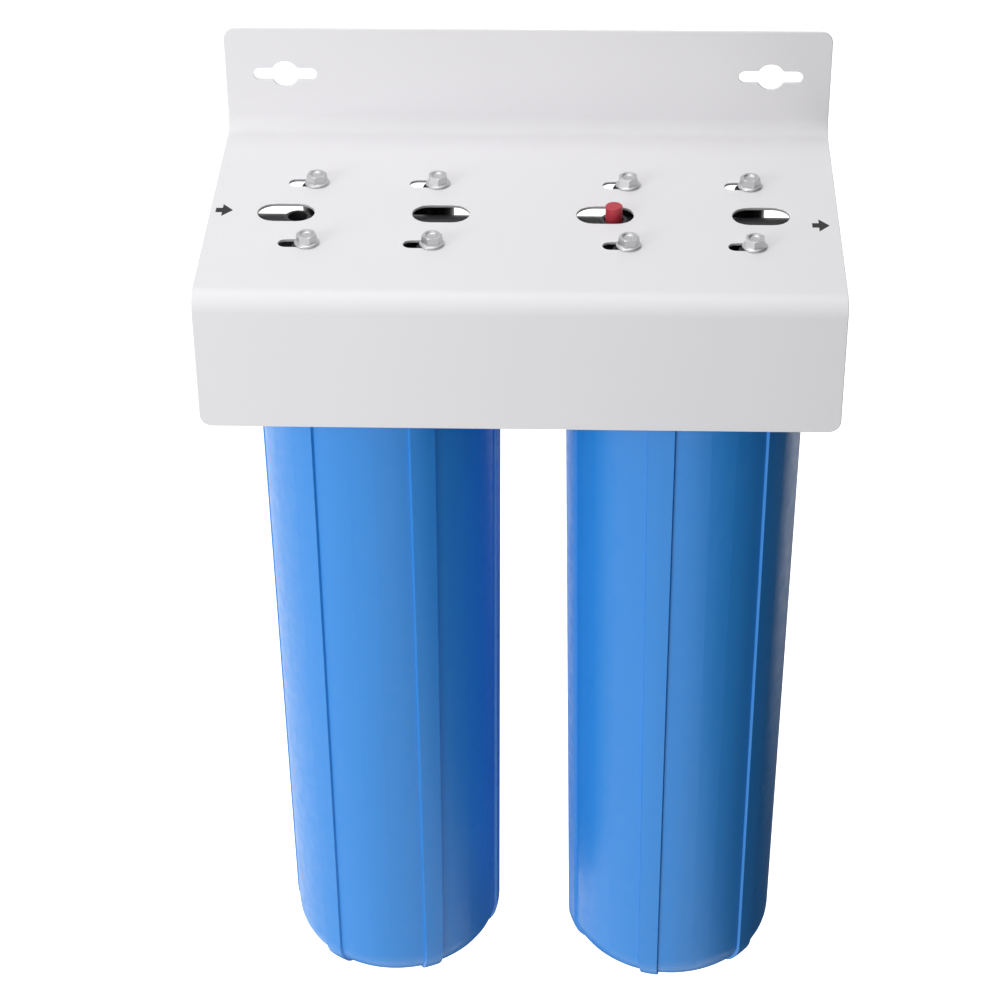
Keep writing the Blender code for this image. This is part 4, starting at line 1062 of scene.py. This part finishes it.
def core_mesh(top, bottom):
    """A moulded core tube with staggered windows between its plain ends."""
    count = math.floor((bottom - top) / CORE_WINDOW_PITCH) - 1
    margin = (bottom - top - count * CORE_WINDOW_PITCH + CORE_WINDOW_PITCH - CORE_WINDOW_LENGTH) / 2
    depths = [top]
    for window in range(count):
        start = top + margin + window * CORE_WINDOW_PITCH
        depths += [start, start + CORE_WINDOW_LENGTH]
    depths.append(bottom)
    shell = turned([(CORE_RADIUS, depth) for depth in depths], CORE_COLUMNS)
    work = bmesh.new()
    work.from_mesh(shell)
    work.faces.ensure_lookup_table()
    bmesh.ops.delete(work, geom=window_faces(work, len(depths) - 1), context="FACES")
    tube = tool(written(work, shell))
    wall = tube.modifiers.new("wall", "SOLIDIFY")
    wall.thickness = CORE_WALL
    wall.offset = -1
    return taken(settled(tube))


def winding_relief(angle, depth):
    """How far the winding stands back: 0 on a string, 1 in a hollow between crossings."""
    around = angle / (2 * math.pi) * WINDING_CELLS
    along = depth / WINDING_PITCH
    return min(abs(math.sin(math.pi * (around + sense * along))) for sense in (-1, 1))


def media_mesh(top, bottom):
    """A string-wound medium, with hollows between its crossings."""
    angles = full_turn(WINDING_CELLS * WINDING_STEPS)
    count = round((bottom - top) / WINDING_PITCH * WINDING_STEPS)
    inner = CORE_RADIUS + SEAT_GAP
    rows = [[polar(inner, angle, -depth) for angle in angles] for depth in (bottom, top)]
    for row in range(count + 1):
        depth = top + (bottom - top) * row / count
        radii = [CARTRIDGE_RADIUS - WINDING_RELIEF * winding_relief(angle, depth) for angle in angles]
        rows.append([polar(radius, angle, -depth) for radius, angle in zip(radii, angles)])
    return skin(rows, loop=True)


def netting_mesh(top, bottom):
    """Two layers of plastic strands, wound opposite ways round the carbon."""
    inner = CARBON_RADIUS + SEAT_GAP
    middle = inner + NETTING_THICKNESS / 2
    layers = [(-1, inner, middle + SEAT_GAP), (1, middle - SEAT_GAP, inner + NETTING_THICKNESS)]
    turn = Matrix.Rotation(2 * math.pi / NETTING_STRANDS, 4, "Z")
    work = bmesh.new()
    for sense, low, high in layers:
        half = (high - low) / 2 / middle
        corners = [(low, -half), (high, -half), (high, half), (low, half)]
        rows = []
        for step in range(NETTING_STEPS + 1):
            share = step / NETTING_STEPS
            angle = sense * NETTING_TURNS * 2 * math.pi * share
            depth = top + (bottom - top) * share
            rows.append([polar(radius, angle + side, -depth) for radius, side in corners])
        strand = skin(rows, capped=True)
        for number in range(NETTING_STRANDS):
            work.from_mesh(strand)
            strand.transform(turn)
    return written(work, bpy.data.meshes.new("netting"))


def cap_mesh(outer_face, sense):
    """An end cap, whose lip runs over the block; sense is 1 at the upper end."""
    inner_face = outer_face + sense * END_CAP_THICKNESS
    lip_end = outer_face + sense * END_CAP_LIP_HEIGHT
    profile = [
        (CARTRIDGE_RADIUS, outer_face), (CARTRIDGE_RADIUS, lip_end),
        (CARTRIDGE_RADIUS - END_CAP_LIP, lip_end), (CARTRIDGE_RADIUS - END_CAP_LIP, inner_face),
        (GASKET_BORE_RADIUS, inner_face), (GASKET_BORE_RADIUS, outer_face),
    ]
    return turned(softened(profile, MOULDED_EDGE, closed=True), closed=True)


def make_gaskets(prefix, place, body):
    """The flat seals on both ends of a cartridge."""
    tops = {"upper": CARTRIDGE_TOP_DEPTH, "lower": CARTRIDGE_BOTTOM_DEPTH - GASKET_THICKNESS}
    for end, top in tops.items():
        mesh = washer(GASKET_RADIUS, GASKET_BORE_RADIUS, top, top + GASKET_THICKNESS)
        stand_in(f"{prefix}_{end}_gasket", "ring", mesh, place, "gasket_foam", body)


def make_cartridges():
    """A string-wound cartridge in stage 1 and a capped carbon block in stage 2."""
    top = CARTRIDGE_TOP_DEPTH + GASKET_THICKNESS + SEAT_GAP
    bottom = CARTRIDGE_BOTTOM_DEPTH - GASKET_THICKNESS - SEAT_GAP
    place = stage_matrix(1)
    body = "sediment_cartridge"
    make_gaskets("sediment", place, body)
    stand_in("sediment_core", "tube", core_mesh(top, bottom), place, "core_plastic", body)
    media = media_mesh(top, bottom)
    stand_in("sediment_media", "winding", media, place, "filter_media", body, WINDING_SHARP_ANGLE)
    place = stage_matrix(2)
    body = "carbon_cartridge"
    make_gaskets("carbon", place, body)
    stand_in("carbon_upper_cap", "moulding", cap_mesh(top, 1), place, "core_plastic", body)
    stand_in("carbon_lower_cap", "moulding", cap_mesh(bottom, -1), place, "core_plastic", body)
    top += END_CAP_THICKNESS + SEAT_GAP
    bottom -= END_CAP_THICKNESS + SEAT_GAP
    stand_in("carbon_core", "tube", core_mesh(top, bottom), place, "core_plastic", body)
    block = washer(CARBON_RADIUS, CORE_RADIUS + SEAT_GAP, top, bottom)
    stand_in("carbon_block", "body", block, place, "carbon", body)
    stand_in("carbon_netting", "sleeve", netting_mesh(top, bottom), place, "netting", body)


# Materials


def set_inputs(tree, item, inputs):
    """Sets each input of a node, or links it where its value is a socket."""
    for name, value in inputs.items():
        if isinstance(value, bpy.types.NodeSocket):
            tree.links.new(value, item.inputs[name])
        else:
            item.inputs[name].default_value = value


def node(tree, kind, inputs, **settings):
    made = tree.nodes.new(kind)
    for name, value in settings.items():
        setattr(made, name, value)
    set_inputs(tree, made, inputs)
    return made


def noise_at(tree, scale, detail=2.0, stretch=(1, 1, 1), roughness=0.5):
    """Noise over the piece's own space, at a scale in features to the metre."""
    place = node(tree, "ShaderNodeTexCoord", {}).outputs["Object"]
    mapped = node(tree, "ShaderNodeMapping", {"Vector": place, "Scale": stretch}).outputs["Vector"]
    inputs = {"Vector": mapped, "Scale": scale, "Detail": detail, "Roughness": roughness}
    return node(tree, "ShaderNodeTexNoise", inputs).outputs["Fac"]


def spread(tree, value, low, high, start=0.3, end=0.7):
    """The value's range from start to end, mapped to low and high."""
    inputs = {"Value": value, "From Min": start, "From Max": end, "To Min": low, "To Max": high}
    return node(tree, "ShaderNodeMapRange", inputs).outputs["Result"]


def between(tree, share, low, high):
    """A colour mixed from two by a share. The node keeps its colour inputs at 6 and 7."""
    inputs = {0: share, 6: (*low, 1), 7: (*high, 1)}
    return node(tree, "ShaderNodeMix", inputs, data_type="RGBA").outputs[2]


def bumped(tree, height, distance, strength, under=None):
    inputs = {"Height": height, "Distance": distance, "Strength": strength}
    if under is not None:
        inputs["Normal"] = under
    return node(tree, "ShaderNodeBump", inputs).outputs["Normal"]


def start_material(name):
    material = bpy.data.materials.new(f"{name}_finish")
    material.use_nodes = True
    return material, material.node_tree


def shaded(material, inputs):
    """The material, once its shader's inputs are set or linked."""
    tree = material.node_tree
    set_inputs(tree, tree.nodes["Principled BSDF"], inputs)
    return material


def scaled(colour, factor):
    return tuple(channel * factor for channel in colour)


def powder_coat(name, white, roughness):
    """Powder coat: a faint orange peel over a finer grain."""
    material, tree = start_material(name)
    peel = noise_at(tree, scale=420)
    grain = bumped(tree, noise_at(tree, scale=2600), distance=0.000012, strength=0.5)
    tone = noise_at(tree, scale=14, detail=3)
    return shaded(material, {
        "Base Color": between(tree, tone, scaled(white, 0.985), white),
        "Roughness": spread(tree, peel, roughness - 0.04, roughness + 0.04),
        "Normal": bumped(tree, peel, distance=0.00003, strength=0.35, under=grain),
        "Specular IOR Level": 0.4,
    })


def moulded(name, colour, roughness):
    """Moulded plastic: a fine grain, slow flow marks and a slight colour drift."""
    material, tree = start_material(name)
    flow = noise_at(tree, scale=24, detail=3, stretch=(1, 1, 0.12))
    gloss = noise_at(tree, scale=130, detail=3)
    grain = bumped(tree, noise_at(tree, scale=3200), distance=0.00001, strength=0.6)
    wave = noise_at(tree, scale=34, stretch=(1, 1, 0.25))
    return shaded(material, {
        "Base Color": between(tree, flow, scaled(colour, 0.94), scaled(colour, 1.05)),
        "Roughness": spread(tree, gloss, roughness - 0.06, roughness + 0.06),
        "Normal": bumped(tree, wave, distance=0.0002, strength=0.12, under=grain),
        "Specular IOR Level": 0.48,
    })


def bright_metal(name, colour, roughness, stretch=(1, 1, 1)):
    """Plated or turned metal: uneven gloss with fine drawing marks."""
    material, tree = start_material(name)
    patch = noise_at(tree, scale=240, detail=4)
    marks = noise_at(tree, scale=1800, detail=3, stretch=stretch)
    return shaded(material, {
        "Base Color": between(tree, patch, scaled(colour, 0.92), colour),
        "Metallic": 1.0,
        "Roughness": spread(tree, marks, roughness - 0.06, roughness + 0.08),
        "Normal": bumped(tree, marks, distance=0.00001, strength=0.4),
    })


def matt(name, colour, roughness, scale, height, stretch=(1, 1, 1)):
    """A dull surface of fibres, grains or cells at a scale."""
    material, tree = start_material(name)
    cells = noise_at(tree, scale, detail=4, stretch=stretch, roughness=0.6)
    return shaded(material, {
        "Base Color": between(tree, cells, scaled(colour, 0.85), colour),
        "Roughness": spread(tree, cells, roughness - 0.05, roughness + 0.05),
        "Normal": bumped(tree, cells, distance=height, strength=0.7),
    })


def make_materials():
    """Each finish: recipe, colour, roughness, and for a matt one its grain's scale and height."""
    finishes = {
        "white_powder_coat": (powder_coat, (0.82, 0.81, 0.83), 0.50),
        # Painted shade: a darker grey for the slot walls, standing for the shade inside the slots
        "slot_wall": (matt, (0.50, 0.50, 0.51), 0.60, 900, 0.00001),
        "black_plastic": (moulded, (0.020, 0.019, 0.022), 0.42),
        "blue_plastic": (moulded, (0.020, 0.254, 0.735), 0.40),
        "red_plastic": (moulded, (0.50, 0.035, 0.055), 0.40),
        "zinc_steel": (bright_metal, (0.66, 0.66, 0.67), 0.42),
        "stainless_steel": (bright_metal, (0.66, 0.66, 0.67), 0.28, (1, 1, 0.05)),
        "brass": (bright_metal, (0.80, 0.60, 0.30), 0.30),
        "seal_rubber": (matt, (0.016, 0.016, 0.017), 0.60, 900, 0.00002),
        "gasket_foam": (matt, (0.70, 0.69, 0.66), 0.82, 1500, 0.0001),
        "filter_media": (matt, (0.88, 0.88, 0.86), 0.90, 500, 0.0003, (1, 1, 2.5)),
        "core_plastic": (moulded, (0.80, 0.82, 0.83), 0.50),
        "carbon": (matt, (0.014, 0.014, 0.014), 0.90, 700, 0.0002),
        "netting": (matt, (0.80, 0.82, 0.84), 0.72, 400, 0.0002),
        "ink": (matt, (0.012, 0.012, 0.013), 0.55, 1200, 0.00001),
    }
    return {name: recipe(name, *values) for name, (recipe, *values) in finishes.items()}


# Stage, light and camera


def stage_block(name, outline, levels, inputs):
    """A flat block of the stage, which isn't part of the object."""
    block = new_object(name, prism(outline, *levels))
    block.data.materials.append(shaded(start_material(name)[0], inputs))
    return block


def make_stage():
    """A pale floor that glows a little, and two black cards that keep the sumps' far sides dark."""
    pale = {"Base Color": (0.9, 0.9, 0.9, 1), "Roughness": 0.9}
    glow = {"Emission Color": (1, 1, 1, 1), "Emission Strength": 0.9}
    black = {"Base Color": (0.01, 0.01, 0.01, 1), "Roughness": 1.0}
    floor = stage_block("floor", FLOOR_OUTLINE, FLOOR_LEVELS, {**pale, **glow})
    side = stage_block("right_card", SIDE_CARD_OUTLINE, SIDE_CARD_LEVELS, black)
    under = stage_block("floor_card", UNDER_CARD_OUTLINE, UNDER_CARD_LEVELS, black)
    for card in (side, under):
        card.visible_camera = False
    for block in (floor, under):
        block.visible_diffuse = False


def softbox(name, at, target, size, watts):
    data = bpy.data.lights.new(name, "AREA")
    data.shape = "RECTANGLE"
    data.size, data.size_y = size
    data.energy = watts
    aim = Vector(target) - Vector(at)
    turn = aim.to_track_quat("-Z", "Y").to_matrix().to_4x4()
    new_object(name, data).matrix_world = Matrix.Translation(at) @ turn


def make_light():
    """Two softboxes, and a white world that the camera sees brighter."""
    world = bpy.data.worlds.new("studio")
    world.use_nodes = True
    tree = world.node_tree
    seen = node(tree, "ShaderNodeLightPath", {}).outputs["Is Camera Ray"]
    strength = spread(tree, seen, 0.68, 1.0, start=0.0, end=1.0)
    set_inputs(tree, tree.nodes["Background"], {"Color": (1, 1, 1, 1), "Strength": strength})
    bpy.context.scene.world = world
    softbox("key", at=(-2.05, -2.15, 0.4), target=(0.0, -0.117, -0.3), size=(1.0, 1.8), watts=35)
    softbox("top", at=(-0.3, 0.0, 2.2), target=(0.0, -0.1, 0.0), size=(1.8, 1.4), watts=19)


def make_camera():
    """The photograph's view: from in front and above, with a long lens."""
    data = bpy.data.cameras.new("camera")
    data.lens = 104.48
    data.sensor_width = 36.0
    camera = new_object("camera", data)
    turn = Matrix.Rotation(math.radians(2.16), 4, "Z")
    tilt = Matrix.Rotation(math.radians(90 - 34.71), 4, "X")
    roll = Matrix.Rotation(math.radians(-0.56), 4, "Z")
    place = Matrix.Translation((0.04465, -1.73627, 0.86104))
    camera.matrix_world = place @ turn @ tilt @ roll
    bpy.context.scene.camera = camera
    bpy.context.scene.view_settings.view_transform = "Standard"


MATERIALS = make_materials()
make_camera()
make_light()
make_stage()
make_bracket()
make_arrows()
make_screws()
make_heads()
make_head_threads()
make_nipple()
make_sumps()
make_sump_seals()
make_relief_valve()
make_cartridges()
